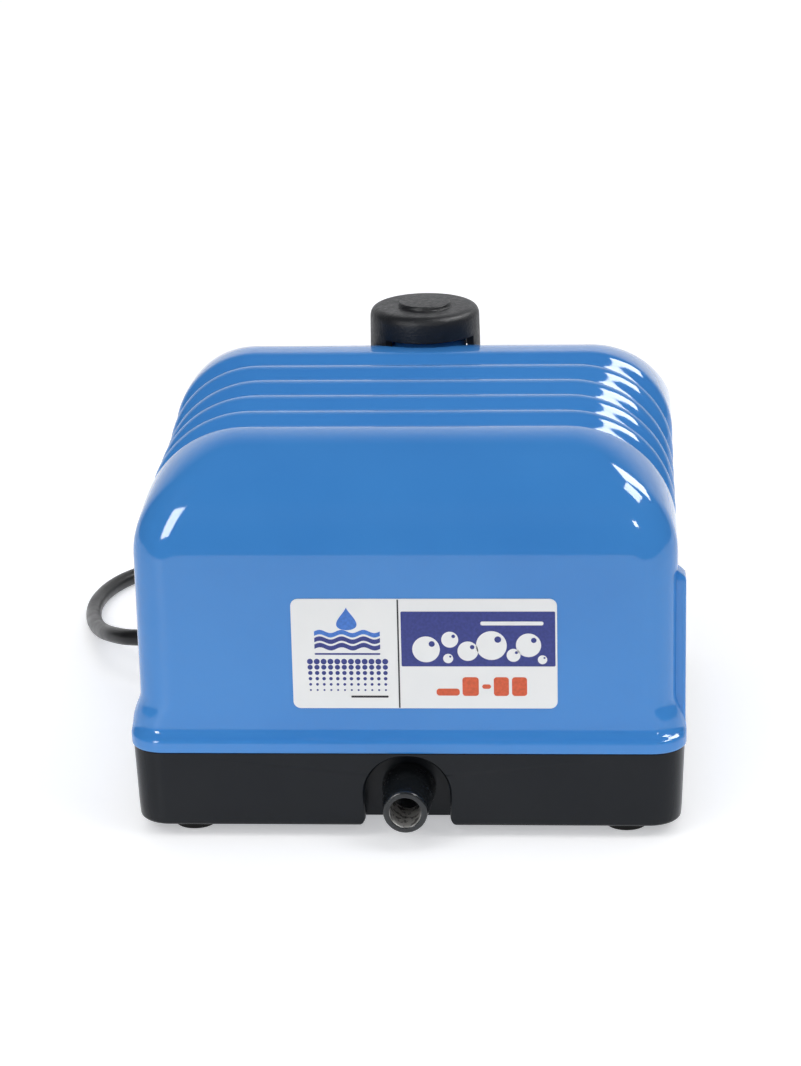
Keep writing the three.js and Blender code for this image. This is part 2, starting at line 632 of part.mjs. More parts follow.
function makeHead(sign) {
  const centreX = (HEAD_INNER_X + HEAD_OUTER_X) / 2;
  let head = block(HEAD_OUTER_X - HEAD_INNER_X, 2 * HEAD_HALF_Y, 2 * HEAD_HALF_Z, centreX, 0, MOTOR_HEIGHT);
  head = head.subtract(rod('x', DIAPHRAGM_RADIUS - 4, CHAMBER_DEPTH + 1, HEAD_INNER_X - 1, 0, MOTOR_HEIGHT, 20));
  for (const offset of [-VALVE_Z, VALVE_Z]) {
    head = head.subtract(rod('x', PORT_RADIUS, 30, HEAD_INNER_X, 0, MOTOR_HEIGHT + offset, 12));
  }
  return sign > 0 ? head : head.mirror([1, 0, 0]);
}

function makeHeadCover(sign) {
  const start = HEAD_OUTER_X + GAP;
  const centreX = start + COVER_DEPTH / 2;
  let lid = block(COVER_DEPTH, 2 * HEAD_HALF_Y, 2 * HEAD_HALF_Z, centreX, 0, MOTOR_HEIGHT);
  const roomDepth = COVER_DEPTH - 2;
  const roomHalf = (HEAD_HALF_Z - 3) / 2 - 0.5;
  for (const side of [-1, 1]) {
    const centreZ = MOTOR_HEIGHT + side * (roomHalf + 1.5);
    lid = lid.subtract(block(roomDepth + 1, 2 * HEAD_HALF_Y - 5, 2 * roomHalf, start + roomDepth / 2 - 0.5, 0, centreZ));
  }
  // Intake slots in the upper room, a hose spigot under the lower one.
  for (const y of [-14, 0, 14]) {
    lid = lid.subtract(block(6, 8, 12, centreX, y, MOTOR_HEIGHT + HEAD_HALF_Z));
  }
  const spigotZ = MOTOR_HEIGHT - HEAD_HALF_Z - SPIGOT_LENGTH;
  lid = lid.add(rod('z', SPIGOT_RADIUS, SPIGOT_LENGTH + 1, centreX, 0, spigotZ, 14));
  lid = lid.subtract(rod('z', SPIGOT_BORE, SPIGOT_LENGTH + 8, centreX, 0, spigotZ - 1, 12));
  return sign > 0 ? lid : lid.mirror([1, 0, 0]);
}

for (const [side, sign] of SIDES) {
  // Rubber diaphragm: thick rim, a rolled convolution and a flat hub.
  const diaphragmProfile = [
    [SHAFT_RADIUS + GAP, -0.8], [11, -0.8], [13, -0.6], [16, 1.2], [19, -0.6], [21, -0.8],
    [DIAPHRAGM_RADIUS, -0.8], [DIAPHRAGM_RADIUS, 0.8], [21, 0.8], [19.4, 1], [16, 2.8], [12.6, 1],
    [11, 0.8], [SHAFT_RADIUS + GAP, 0.8], [SHAFT_RADIUS + GAP, -0.8],
  ];
  const diaphragm = turned(diaphragmProfile, 18).translate(0, 0, DIAPHRAGM_X);
  onShaft(addMotor(`diaphragm_${side}`, diaphragm, rubber), sign);
  const innerDisc = ring(SHAFT_RADIUS + GAP, 10.5, DIAPHRAGM_X - 0.8 - GAP - 1.5, DIAPHRAGM_X - 0.8 - GAP, 14);
  onShaft(addMotor(`clamp_disc_inner_${side}`, innerDisc, aluminium), sign);
  const outerDisc = ring(SHAFT_RADIUS + GAP, 10.5, DIAPHRAGM_X + 0.8 + GAP, DIAPHRAGM_X + 2.3 + GAP, 14);
  onShaft(addMotor(`clamp_disc_outer_${side}`, outerDisc, aluminium), sign);
  const nutStart = DIAPHRAGM_X + 2.3 + 2 * GAP;
  const nut = ring(SHAFT_RADIUS + 3 * GAP, 6, nutStart, nutStart + 5, 6);
  onShaft(addMotor(`shaft_nut_${side}`, nut, brass), sign);

  addMotor(`pump_head_${side}`, makeHead(sign), aluminium);
  addMotor(`head_cover_${side}`, makeHeadCover(sign), blackPlastic);
  // Reed flaps: the intake flap lies inside the pump chamber, the exhaust flap in the lower room.
  const intakeX = HEAD_INNER_X + CHAMBER_DEPTH - GAP - 0.6;
  const exhaustX = HEAD_OUTER_X + GAP;
  const flaps = [['intake', intakeX, VALVE_Z], ['exhaust', exhaustX, -VALVE_Z]];
  for (const [use, x, offset] of flaps) {
    const flap = block(0.6, 9, 9, sign * (x + 0.3), 0, MOTOR_HEIGHT + offset);
    addMotor(`${use}_flap_${side}`, flap, rubber);
  }

  // Hose from the head down to the air chamber.
  const hoseTop = MOTOR_HEIGHT - HEAD_HALF_Z - GAP;
  const hosePoints = [
    [sign * SPIGOT_X, 0, hoseTop], [sign * SPIGOT_X, 0, hoseTop - 4.5], [sign * SPIGOT_X, -0.2, hoseTop - 9],
    [sign * (SPIGOT_X - 1.5), -8, 18.5], [sign * (SPIGOT_X - 10), -17, CHAMBER_Z + 0.4],
    [sign * (CHAMBER_HALF_X + 10), CHAMBER_Y, CHAMBER_Z], [sign * (CHAMBER_HALF_X + 5), CHAMBER_Y, CHAMBER_Z],
    [sign * (CHAMBER_HALF_X + GAP), CHAMBER_Y, CHAMBER_Z],
  ];
  addMotor(`air_hose_${side}`, tube(hosePoints, HOSE_RADIUS, 12, 8, HOSE_BORE), rubber);
}

// ---- Air chamber on the floor of the base, and the hose to the outlet -----------------------
function makeAirChamber() {
  const halfY = 11;
  const halfZ = 7;
  let box = block(2 * CHAMBER_HALF_X, 2 * halfY, 2 * halfZ, 0, CHAMBER_Y, CHAMBER_Z);
  for (const [, sign] of SIDES) {
    const start = sign > 0 ? CHAMBER_HALF_X - 1 : -CHAMBER_HALF_X - SPIGOT_LENGTH;
    box = box.add(rod('x', SPIGOT_RADIUS, SPIGOT_LENGTH + 1, start, CHAMBER_Y, CHAMBER_Z, 14));
  }
  const spigotTip = CHAMBER_Y - halfY - SPIGOT_LENGTH;
  box = box.add(rod('y', SPIGOT_RADIUS, SPIGOT_LENGTH + 1, 0, spigotTip, NOZZLE_HEIGHT, 14));
  box = box.subtract(block(2 * CHAMBER_HALF_X - 4, 2 * halfY - 4, 2 * halfZ - 4, 0, CHAMBER_Y, CHAMBER_Z));
  box = box.subtract(rod('x', SPIGOT_BORE, 100, -50, CHAMBER_Y, CHAMBER_Z, 12));
  return box.subtract(rod('y', SPIGOT_BORE, SPIGOT_LENGTH + 8, 0, spigotTip - 1, NOZZLE_HEIGHT, 12));
}

addMotor('air_chamber', makeAirChamber(), blackPlastic);

// The outlet hose slips over the chamber's front spigot and over the nozzle's inner tail.
const outletStart = CHAMBER_Y + MOTOR_Y - 11 - GAP;
const outletEnd = NOZZLE_ROOT_Y + 7.5;
const outletLength = outletStart - outletEnd;
const outletHose = add('outlet_hose', turned([
  [HOSE_BORE, 0], [5.7, 0], [5.7, outletLength], [4.8, outletLength],
  [4.8, outletLength - 15], [HOSE_BORE, outletLength - 18], [HOSE_BORE, 0],
], 16), rubber, 0, outletStart, NOZZLE_HEIGHT);
outletHose.rotation.x = Math.PI / 2;

// ---- Terminal block where the lead ends -----------------------------------------------------
function makeTerminalBlock() {
  let body = block(14, 32, 10, 0, 0, 5);
  for (const y of [-10.5, 0, 10.5]) {
    body = body.add(block(12, 7.5, 5, 0, y, 12)).subtract(rod('z', 2, 8, 0, y, 8, 10));
  }
  return body;
}

add('terminal_block', makeTerminalBlock(), palePlastic, -50, 52, FOOT_HEIGHT + BASE_WALL + GAP);

// ---- Mains lead -----------------------------------------------------------------------------
// Its route, in the part's own frame: out of the left side, down to the floor and round behind.
const SKIRT_SIDE_X = -HALF_X;
const RELIEF_LENGTH = 22;
const RELIEF_INSIDE = 12;
const RELIEF_X = SKIRT_SIDE_X + RELIEF_INSIDE;
const RELIEF_TIP_X = RELIEF_X - RELIEF_LENGTH;
const LEAD_Y = STRAIN_RELIEF_Y + NOZZLE_REACH / 2;
const COIL_CENTRE = [-26, 144];
const COIL_MEAN_RADIUS = 33;
const COIL_BOTTOM = 1.2;

const reliefProfile = [
  [0, 0], [7.6, 0], [7.6, 3], [5.3, 3.4], [5.3, RELIEF_INSIDE + 1.5], [4.2, RELIEF_LENGTH], [0, RELIEF_LENGTH],
];
const relief = add('strain_relief', turned(reliefProfile, 16), rubber, RELIEF_X, STRAIN_RELIEF_Y, STRAIN_RELIEF_Z);
relief.rotation.y = -Math.PI / 2;

const lead = new THREE.Group();
lead.position.y = -NOZZLE_REACH / 2;
pump.add(lead);

function addLead(name, shape, material, x = 0, y = 0, z = 0) {
  const mesh = add(name, shape, material, x, y, z);
  lead.add(mesh);
  return mesh;
}

const leadRoute = [
  [RELIEF_TIP_X - GAP, LEAD_Y, 16], [RELIEF_TIP_X - 3, LEAD_Y + 0.1, 16], [-107, 60.8, 15.6], [-112, 64, 14.6], [-117.5, 71, 12.8],
  [-122, 80.5, 10.2], [-126.3, 92, 7.4], [-130, 105, 5], [-132.6, 118, 3.5], [-133.5, 132, 3],
  [-131, 147, 3], [-124.5, 161, 3], [-113, 172.5, 3], [-98.5, 180, 3], [-82, 184.4, 3],
  [-64, 187.2, 3], [-45, 189.2, 3.6], [-26, 189.5, 4.3],
];
addLead('cord_run', tube(leadRoute, CORD_RADIUS, 30), rubber);

const coilHalfWidth = 3 * CORD_RADIUS;
const coilHeight = 4 * CORD_RADIUS;
const coilInner = COIL_MEAN_RADIUS - coilHalfWidth;
const coilOuter = COIL_MEAN_RADIUS + coilHalfWidth;
const coilTop = COIL_BOTTOM + coilHeight;
const coilProfile = [
  [coilInner, COIL_BOTTOM + 2], [coilInner + 2, COIL_BOTTOM], [coilOuter - 2, COIL_BOTTOM],
  [coilOuter, COIL_BOTTOM + 2], [coilOuter, coilTop - 2], [coilOuter - 2, coilTop],
  [coilInner + 2, coilTop], [coilInner, coilTop - 2], [coilInner, COIL_BOTTOM + 2],
];
addLead('cord_coil', turned(coilProfile, 28), rubber, ...COIL_CENTRE, 0);

// A flat band round the turns, on the side of the coil that faces the pump.
const tieWall = 0.8;
const TIE_SLACK = 0.4; // room inside the straight band for the curve of the turns
const tieOuter = block(2 * (coilHalfWidth + TIE_SLACK + GAP + tieWall), 6, coilTop + GAP + tieWall, 0, 0,
  (coilTop + GAP + tieWall) / 2);
const tieInner = block(2 * (coilHalfWidth + TIE_SLACK + GAP), 8, coilHeight + 2 * GAP, 0, 0, COIL_BOTTOM + coilHeight / 2);
const TIE_TURN = -Math.PI / 2;
const tie = addLead('cord_tie', tieOuter.subtract(tieInner), palePlastic,
  COIL_CENTRE[0] + COIL_MEAN_RADIUS * Math.cos(TIE_TURN),
  COIL_CENTRE[1] + COIL_MEAN_RADIUS * Math.sin(TIE_TURN), 0);
tie.rotation.z = TIE_TURN;

// ---- Plug: lies on its back beside the coil, pins up ----------------------------------------
const PLUG_CENTRE = [58, 183];
const PLUG_HEIGHT = 17;

function makePlug() {
  const body = stack([
    [0, 20, 19, 7], [1.5, 22.5, 21.5, 8], [PLUG_HEIGHT - 5, 24, 23, 8], [PLUG_HEIGHT, 24, 23, 8],
  ], 3);
  const neck = rod('x', 6.5, 12, -34, 0, 8, 16);
  let plug = body.add(neck);
  for (const [x, y, halfX, halfY] of PIN_PLACES) {
    plug = plug.subtract(block(2 * (halfX + GAP), 2 * (halfY + GAP), 12, x, y, PLUG_HEIGHT));
  }
  return plug.subtract(rod('x', CORD_RADIUS + GAP, 8, -35, 0, 8, 12));
}

// Pins as [x, y, half sizes]; the two flat ones lie nearest the cord.
const PIN_PLACES = [[-9, -11.1, 2, 3.2], [-9, 11.1, 2, 3.2], [13.4, 0, 4, 2]];
addLead('plug_body', makePlug(), blackPlastic, ...PLUG_CENTRE, 0);
const PIN_NAMES = ['plug_pin_left', 'plug_pin_right', 'plug_pin_earth'];
PIN_PLACES.forEach(([x, y, halfX, halfY], index) => {
  const length = index === 2 ? 22.7 : 17.7;
  const bottom = PLUG_HEIGHT - 5.5;
  const pin = slab(halfX, halfY, 0.8, bottom, PLUG_HEIGHT + length, 1);
  addLead(PIN_NAMES[index], pin, brass, PLUG_CENTRE[0] + x, PLUG_CENTRE[1] + y, 0);
});

// The short stretch from the coil's top turn to the plug.
const tailRoute = [
  [COIL_CENTRE[0] + 22.5, PLUG_CENTRE[1], 10.2], [5, PLUG_CENTRE[1], 9.7], [14, PLUG_CENTRE[1], 8.6],
  [PLUG_CENTRE[0] - 29 - GAP, PLUG_CENTRE[1], 8],
];
addLead('cord_tail', tube(tailRoute, CORD_RADIUS, 4), rubber);

export default pump;
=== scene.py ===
"""Looks of a pond air pump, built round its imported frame. Metres, +Z up, the outlet faces -Y."""
import json
import math

import bmesh
import bpy
from mathutils import Matrix, Vector


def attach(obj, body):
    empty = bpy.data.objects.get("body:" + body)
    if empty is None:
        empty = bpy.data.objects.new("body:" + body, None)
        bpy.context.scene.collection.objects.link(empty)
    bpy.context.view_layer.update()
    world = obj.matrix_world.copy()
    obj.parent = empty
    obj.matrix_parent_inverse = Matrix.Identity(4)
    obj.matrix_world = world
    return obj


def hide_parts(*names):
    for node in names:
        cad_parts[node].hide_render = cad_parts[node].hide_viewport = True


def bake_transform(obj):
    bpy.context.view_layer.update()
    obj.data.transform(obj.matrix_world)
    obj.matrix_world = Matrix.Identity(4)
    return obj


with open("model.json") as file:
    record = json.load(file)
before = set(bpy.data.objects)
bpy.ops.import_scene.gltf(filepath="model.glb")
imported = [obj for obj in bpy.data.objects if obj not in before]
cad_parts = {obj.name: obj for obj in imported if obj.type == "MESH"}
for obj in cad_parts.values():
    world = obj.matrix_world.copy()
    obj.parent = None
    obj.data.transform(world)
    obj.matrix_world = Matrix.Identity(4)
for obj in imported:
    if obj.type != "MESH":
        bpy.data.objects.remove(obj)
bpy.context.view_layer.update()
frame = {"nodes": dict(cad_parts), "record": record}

MM = 0.001
GAP = 0.3  # clearance between neighbouring pieces, in mm like every size below

# ---- Sizes, in mm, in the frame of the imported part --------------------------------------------
FRONT_SHIFT = 5.25  # the housing's middle lies this far behind the origin
HALF_X, HALF_Y = 90.0, 88.0
SKIRT_CORNER = 11.0
WALL_X, WALL_Y = 87.0, 85.0
WALL_CORNER = 12.0
COVER_BOTTOM, FLUTE_FOOT, FLARE_TOP = 30.0, 37.5, 46.0
CREST = 128.8
FRONT_SHOULDER, REAR_SHOULDER = 32.6, 46.0
RIB_PITCH, FLUTES, FLUTE_DEPTH = 17.9, 5, 3.0
TOP_CORNER, REAR_TOP_CORNER = 35.0, 30.0
SIDE_RIB_X, SIDE_RIB_Y = HALF_X - 5.4, -67.35
FRONT_CREST = -WALL_Y + FRONT_SHOULDER
REAR_CREST = FRONT_CREST + FLUTES * RIB_PITCH
CAP_Y = REAR_CREST + 25.0 + FRONT_SHIFT
CAP_RADIUS, CAP_RIM, CAP_TOP = 19.5, 121.5, 140.2
WINDOW_TOP, WINDOW_HALF, WINDOW_TURNS = CAP_RIM + 8.3, 15.5, (-79, 101)  # turns in degrees
SEAT_RADIUS, SEAT_TOP = 14.5, 131.8
NOZZLE_Z, NOZZLE_TIP_Y, NOZZLE_LENGTH = 14.1, -93.25, 21.0
BASE_BOTTOM, BASE_TOP = 4.0, 29.7
RELIEF_Y, RELIEF_Z = 59.0, 16.0
CORD_DIAMETER = 6.0
DIAPHRAGM_X, DIAPHRAGM_Z, HUB_BORE = 41.0, 66.0, 3.3
LABEL_X, LABEL_Z, LABEL_HALF_X, LABEL_HALF_Z = 6.4, 63.4, 42.3, 18.6
LABEL_FACE = -WALL_Y + FRONT_SHIFT - GAP
FLOOR_FRONT = -400.0  # where the pale floor ends in front of the pump
PUMP_MIDDLE = Vector((0, 0.005, 0.07))  # in metres
SCREWS = [(sx * 56.0, sy * 78.0 + FRONT_SHIFT) for sx in (-1, 1) for sy in (-1, 1)]
FEET = {
    f"foot_{row}_{side}": (sx * 70.6, sy * 73.3 + FRONT_SHIFT)
    for row, sy in (("front", -1), ("rear", 1)) for side, sx in (("left", -1), ("right", 1))
}
# Each pin's place across the plug, then its half width and half depth.
PLUG_PINS = {
    "plug_pin_left": (-9, -11.1, 2, 3.2),
    "plug_pin_right": (-9, 11.1, 2, 3.2),
    "plug_pin_earth": (13.4, 0, 4, 2),
}


# ---- Camera ------------------------------------------------------------------------------------
def make_camera():
    azimuth, elevation, roll = (math.radians(a) for a in (3.97, 18.87, 1.37))
    target = Vector((-0.00638, 0.00825, 0.07384))
    distance = 1.1276
    forward = Vector((
        -math.sin(azimuth) * math.cos(elevation),
        math.cos(azimuth) * math.cos(elevation),
        -math.sin(elevation),
    ))
    right = Vector((math.cos(azimuth), math.sin(azimuth), 0))
    up = right.cross(forward)
    side = math.cos(roll) * right - math.sin(roll) * up
    top = math.sin(roll) * right + math.cos(roll) * up
    camera = bpy.data.objects.new("camera", bpy.data.cameras.new("camera"))
    camera.data.lens = 111.1
    camera.data.sensor_width = 36
    camera.matrix_world = Matrix.Translation(target - distance * forward) @ Matrix((
        (side.x, top.x, -forward.x, 0),
        (side.y, top.y, -forward.y, 0),
        (side.z, top.z, -forward.z, 0),
        (0, 0, 0, 1),
    ))
    bpy.context.scene.collection.objects.link(camera)
    bpy.context.scene.camera = camera


make_camera()


# ---- Materials ---------------------------------------------------------------------------------
class Finish:
    """A node material with helpers for colour variation, bump and roughness, all in metres."""

    def __init__(self, name, color, roughness, metallic=0.0, **sockets):
        self.material = bpy.data.materials.new(name)
        self.material.use_nodes = True
        self.tree = self.material.node_tree
        self.shader = self.tree.nodes["Principled BSDF"]
        self.place = self.tree.nodes.new("ShaderNodeTexCoord").outputs["Object"]
        self.shader.inputs["Base Color"].default_value = (*color, 1)
        self.shader.inputs["Roughness"].default_value = roughness
        self.shader.inputs["Metallic"].default_value = metallic
        for socket, value in sockets.items():
            self.shader.inputs[socket.replace("_", " ")].default_value = value
        self.material.diffuse_color = (*color, 1)
        self.color = color
        self.height = None

    def node(self, kind, inputs=(), **settings):
        made = self.tree.nodes.new(kind)
        for key, value in settings.items():
            setattr(made, key, value)
        for key, value in dict(inputs).items():
            if isinstance(value, bpy.types.NodeSocket):
                self.tree.links.new(value, made.inputs[key])
            else:
                made.inputs[key].default_value = value
        return made

    def noise(self, size, detail=2.0, stretch=(1, 1, 1)):
        """Noise whose features are about that many metres across, longer along a stretched axis."""
        scaled = self.node("ShaderNodeMapping", {
            "Vector": self.place, "Scale": tuple(1 / s for s in stretch)})
        return self.node("ShaderNodeTexNoise", {
            "Vector": scaled.outputs[0], "Scale": 1 / size, "Detail": detail}).outputs["Fac"]

    def cells(self, size):
        return self.node("ShaderNodeTexVoronoi", {
            "Vector": self.place, "Scale": 1 / size}).outputs["Distance"]

    def bands(self, size, axis, distortion=0.0):
        return self.node("ShaderNodeTexWave", {
            "Vector": self.place, "Scale": 0.5 / size, "Distortion": distortion},
            bands_direction=axis).outputs["Fac"]

    def ramp(self, fac, low, high, a=0.0, b=1.0):
        """Maps fac from low..high to the values a..b."""
        return self.node("ShaderNodeMapRange", {
            "Value": fac, "From Min": low, "From Max": high, "To Min": a, "To Max": b}).outputs[0]

    def level(self):
        """The height above the object's origin."""
        return self.node("ShaderNodeSeparateXYZ", {"Vector": self.place}).outputs["Z"]

    def vary(self, fac, other, low=0.35, high=0.7):
        """Mixes the colour towards another one where fac is high."""
        share = self.ramp(fac, low, high)
        previous = self.shader.inputs["Base Color"]
        source = previous.links[0].from_socket if previous.links else (*self.color, 1)
        mix = self.node("ShaderNodeMix", data_type="RGBA")
        self.tree.links.new(share, mix.inputs[0])
        if isinstance(source, bpy.types.NodeSocket):
            self.tree.links.new(source, mix.inputs[6])
        else:
            mix.inputs[6].default_value = source
        mix.inputs[7].default_value = (*other, 1)
        self.tree.links.new(mix.outputs[2], previous)
        return self

    def rough(self, fac, low, high):
        """Roughness from low to high with fac."""
        self.tree.links.new(self.ramp(fac, 0.3, 0.7, low, high), self.shader.inputs["Roughness"])
        return self

    def glow(self, color, fac, low, high, start, end):
        """A faint light of its own, from start to end as fac goes from low to high."""
        self.shader.inputs["Emission Color"].default_value = (*color, 1)
        self.tree.links.new(self.ramp(fac, low, high, start, end), self.shader.inputs["Emission Strength"])
        return self

    def bump(self, fac, depth, strength=1.0):
        """Relief of that many metres from fac, on top of what is there."""
        inputs = {"Height": fac, "Distance": depth, "Strength": strength}
        if self.height is not None:
            inputs["Normal"] = self.height
        self.height = self.node("ShaderNodeBump", inputs).outputs[0]
        self.tree.links.new(self.height, self.shader.inputs["Normal"])
        return self


def make_finishes():
    made = {}
    blue = Finish("blue_paint", (0.050, 0.243, 0.640), 0.07, IOR=1.5)
    blue.vary(blue.noise(0.05, 3), (0.056, 0.262, 0.668))
    blue.bump(blue.noise(0.0022, 1), 0.0000035)
    blue.bump(blue.noise(0.018, 1), 0.00002)
    made["blue_paint"] = blue
    black = Finish("black_plastic", (0.0072, 0.0092, 0.0125), 0.25, Specular_IOR_Level=0.2)
    black.vary(black.noise(0.03, 3), (0.0095, 0.0115, 0.0145))
    black.rough(black.noise(0.012, 4), 0.18, 0.27)
    black.bump(black.noise(0.0012, 2), 0.000006)
    made["black_plastic"] = black
    cap = Finish("cap_plastic", (0.0085, 0.0095, 0.012), 0.4, Specular_IOR_Level=0.32)
    cap.vary(cap.noise(0.006, 3), (0.012, 0.0125, 0.0145))
    cap.rough(cap.noise(0.002, 3), 0.36, 0.5)
    cap.bump(cap.noise(0.0006, 3), 0.00014)
    cap.bump(cap.cells(0.0009), 0.00005)
    made["cap_plastic"] = cap
    rubber = Finish("rubber", (0.0045, 0.0045, 0.0045), 0.6, Specular_IOR_Level=0.18)
    rubber.vary(rubber.noise(0.008, 4), (0.0075, 0.0075, 0.0072))
    rubber.bump(rubber.noise(0.0008, 3), 0.00002)
    made["rubber"] = rubber
    jacket = Finish("cord_jacket", (0.007, 0.007, 0.0075), 0.34, Specular_IOR_Level=0.35)
    jacket.vary(jacket.noise(0.02, 3), (0.010, 0.010, 0.011))
    jacket.rough(jacket.noise(0.006, 3), 0.28, 0.42)
    jacket.bump(jacket.noise(0.0015, 2), 0.00001)
    made["cord_jacket"] = jacket
    nozzle = Finish("nozzle_metal", (0.0095, 0.0115, 0.0135), 0.2)
    nozzle.vary(nozzle.noise(0.006, 3), (0.014, 0.016, 0.018))
    nozzle.rough(nozzle.noise(0.004, 4), 0.15, 0.3)
    nozzle.bump(nozzle.noise(0.0018, 2), 0.00003)
    made["nozzle_metal"] = nozzle
    bare = Finish("bare_metal", (0.74, 0.73, 0.71), 0.5, 0.7)
    bare.vary(bare.noise(0.0022, 4), (0.22, 0.215, 0.21), 0.5, 0.62)
    # Painted shade: the bore's upper part, under the nozzle's top wall, is mixed to near black from 13.2 to
    # 15.8 mm up.
    bare.vary(bare.level(), (0.012, 0.013, 0.014), 0.0132, 0.0158)
    bare.rough(bare.noise(0.001, 3), 0.25, 0.6)
    bare.bump(bare.noise(0.0009, 4), 0.00014)
    made["bare_metal"] = bare
    sticker = Finish("sticker", (0.86, 0.87, 0.87), 0.3)
    sticker.vary(sticker.noise(0.02, 2), (0.89, 0.895, 0.89))
    sticker.bump(sticker.noise(0.006, 1), 0.000008)
    made["sticker"] = sticker
    for name, color in (("ink_navy", (0.024, 0.036, 0.215)), ("ink_red", (0.60, 0.090, 0.028)),
                        ("ink_black", (0.012, 0.012, 0.016)), ("ink_sky", (0.045, 0.170, 0.560))):
        ink = Finish(name, color, 0.3)
        ink.vary(ink.noise(0.001, 2), tuple(min(1, c * 1.25 + 0.004) for c in color))
        made[name] = ink
    foam = Finish("foam", (0.026, 0.028, 0.032), 0.95)
    foam.vary(foam.cells(0.0011), (0.052, 0.055, 0.06), 0.2, 0.6)
    foam.bump(foam.cells(0.0011), 0.0006)
    made["foam"] = foam
    steel = Finish("steel", (0.50, 0.505, 0.52), 0.32, 1.0)
    steel.vary(steel.noise(0.007, 4), (0.40, 0.405, 0.40))
    steel.rough(steel.noise(0.003, 4), 0.25, 0.45)
    steel.bump(steel.noise(0.0006, 3, (8, 1, 1)), 0.00001)
    made["steel"] = steel
    laminated = Finish("laminated_steel", (0.17, 0.17, 0.18), 0.42, 1.0)
    laminated.vary(laminated.bands(0.0007, "Z"), (0.08, 0.08, 0.085), 0.6, 0.95)
    laminated.rough(laminated.noise(0.004, 3), 0.35, 0.55)
    laminated.bump(laminated.bands(0.0007, "Z"), 0.00006)
    made["laminated_steel"] = laminated
    magnet = Finish("magnet", (0.045, 0.045, 0.048), 0.55, 0.2)
    magnet.vary(magnet.noise(0.002, 4), (0.075, 0.075, 0.078))
    magnet.bump(magnet.noise(0.0006, 3), 0.00003)
    made["magnet"] = magnet
    pale = Finish("pale_plastic", (0.62, 0.60, 0.53), 0.45)
    pale.vary(pale.noise(0.01, 3), (0.69, 0.67, 0.60))
    pale.rough(pale.noise(0.003, 3), 0.4, 0.52)
    pale.bump(pale.noise(0.0008, 2), 0.00001)
    made["pale_plastic"] = pale
    copper = Finish("copper", (0.50, 0.155, 0.055), 0.28, 1.0)
    copper.vary(copper.bands(0.0005, "Y", 0.4), (0.30, 0.075, 0.025), 0.55, 0.95)
    copper.bump(copper.bands(0.0005, "Y", 0.4), 0.0001)
    made["copper"] = copper
    aluminium = Finish("aluminium", (0.42, 0.43, 0.45), 0.42, 1.0)
    aluminium.vary(aluminium.noise(0.01, 4), (0.34, 0.35, 0.365))
    aluminium.rough(aluminium.noise(0.002, 4), 0.36, 0.56)
    aluminium.bump(aluminium.noise(0.0009, 4), 0.00006)
    made["aluminium"] = aluminium
    brass = Finish("brass", (0.60, 0.38, 0.11), 0.25, 1.0)
    brass.vary(brass.noise(0.004, 4), (0.46, 0.27, 0.08))
    brass.rough(brass.noise(0.0015, 4), 0.18, 0.36)
    brass.bump(brass.noise(0.0004, 3, (1, 1, 10)), 0.000008)
    made["brass"] = brass
    return {name: finish.material for name, finish in made.items()}


FINISH = make_finishes()


# ---- Meshes ------------------------------------------------------------------------------------
def new_object(name, mesh, *finishes):
    piece = bpy.data.objects.new(name, mesh)
    bpy.context.scene.collection.objects.link(piece)
    for finish in finishes:
        piece.data.materials.append(FINISH[finish])
    return piece


def build(name, points, faces, *finishes, slots=None):
    """An object from corner points in mm and faces of point numbers."""
    mesh = bpy.data.meshes.new(name)
    mesh.from_pydata([Vector(p) * MM for p in points], [], faces)
    if slots is not None:
        mesh.polygons.foreach_set("material_index", slots)
    mesh.update()
    return new_object(name, mesh, *finishes)


def clean(piece, smooth_angle=35):
    """Merges doubles, turns every face outwards and shades smooth except at sharp edges."""
    mesh = bmesh.new()
    mesh.from_mesh(piece.data)
    bmesh.ops.remove_doubles(mesh, verts=mesh.verts, dist=1e-7)
    bmesh.ops.recalc_face_normals(mesh, faces=mesh.faces)
    mesh.to_mesh(piece.data)
    mesh.free()
    piece.data.shade_smooth()
    piece.data.set_sharp_from_angle(angle=math.radians(smooth_angle))
    return piece


def bake_modifiers(piece):
    graph = bpy.context.evaluated_depsgraph_get()
    result = bpy.data.meshes.new_from_object(piece.evaluated_get(graph))
    piece.modifiers.clear()
    old, piece.data = piece.data, result
    bpy.data.meshes.remove(old)
    return piece


def combine(piece, operation, *others):
    """Applies a boolean with each of the others, which are then removed."""
    for other in others:
        modifier = piece.modifiers.new("boolean", "BOOLEAN")
        modifier.operation = operation
        modifier.solver = "EXACT"
        modifier.object = other
        bpy.context.view_layer.update()
        bake_modifiers(piece)
        bpy.data.objects.remove(other)
    return piece


def soften(piece, width, angle=40, segments=2):
    modifier = piece.modifiers.new("edges", "BEVEL")
    modifier.width = width * MM
    modifier.segments = segments
    modifier.limit_method = "ANGLE"
    modifier.angle_limit = math.radians(angle)
    modifier.harden_normals = False
    bpy.context.view_layer.update()
    return bake_modifiers(piece)


def rounded(profile, steps=5):
    """A polyline of (x, y, radius) corners with each corner rounded to its radius."""
    points = []
    for index, (x, y, radius) in enumerate(profile):
        here = Vector((x, y))
        if radius <= 0 or index in (0, len(profile) - 1):
            points.append((x, y))
            continue
        before = Vector(profile[index - 1][:2]) - here
        after = Vector(profile[index + 1][:2]) - here
        turn = before.angle(after) / 2
        reach = min(radius / math.tan(turn), before.length * 0.49, after.length * 0.49)
        start = here + before.normalized() * reach
        end = here + after.normalized() * reach
        for step in range(steps + 1):
            t = step / steps
            spot = (1 - t) ** 2 * start + 2 * t * (1 - t) * here + t * t * end
            points.append((spot.x, spot.y))
    return points


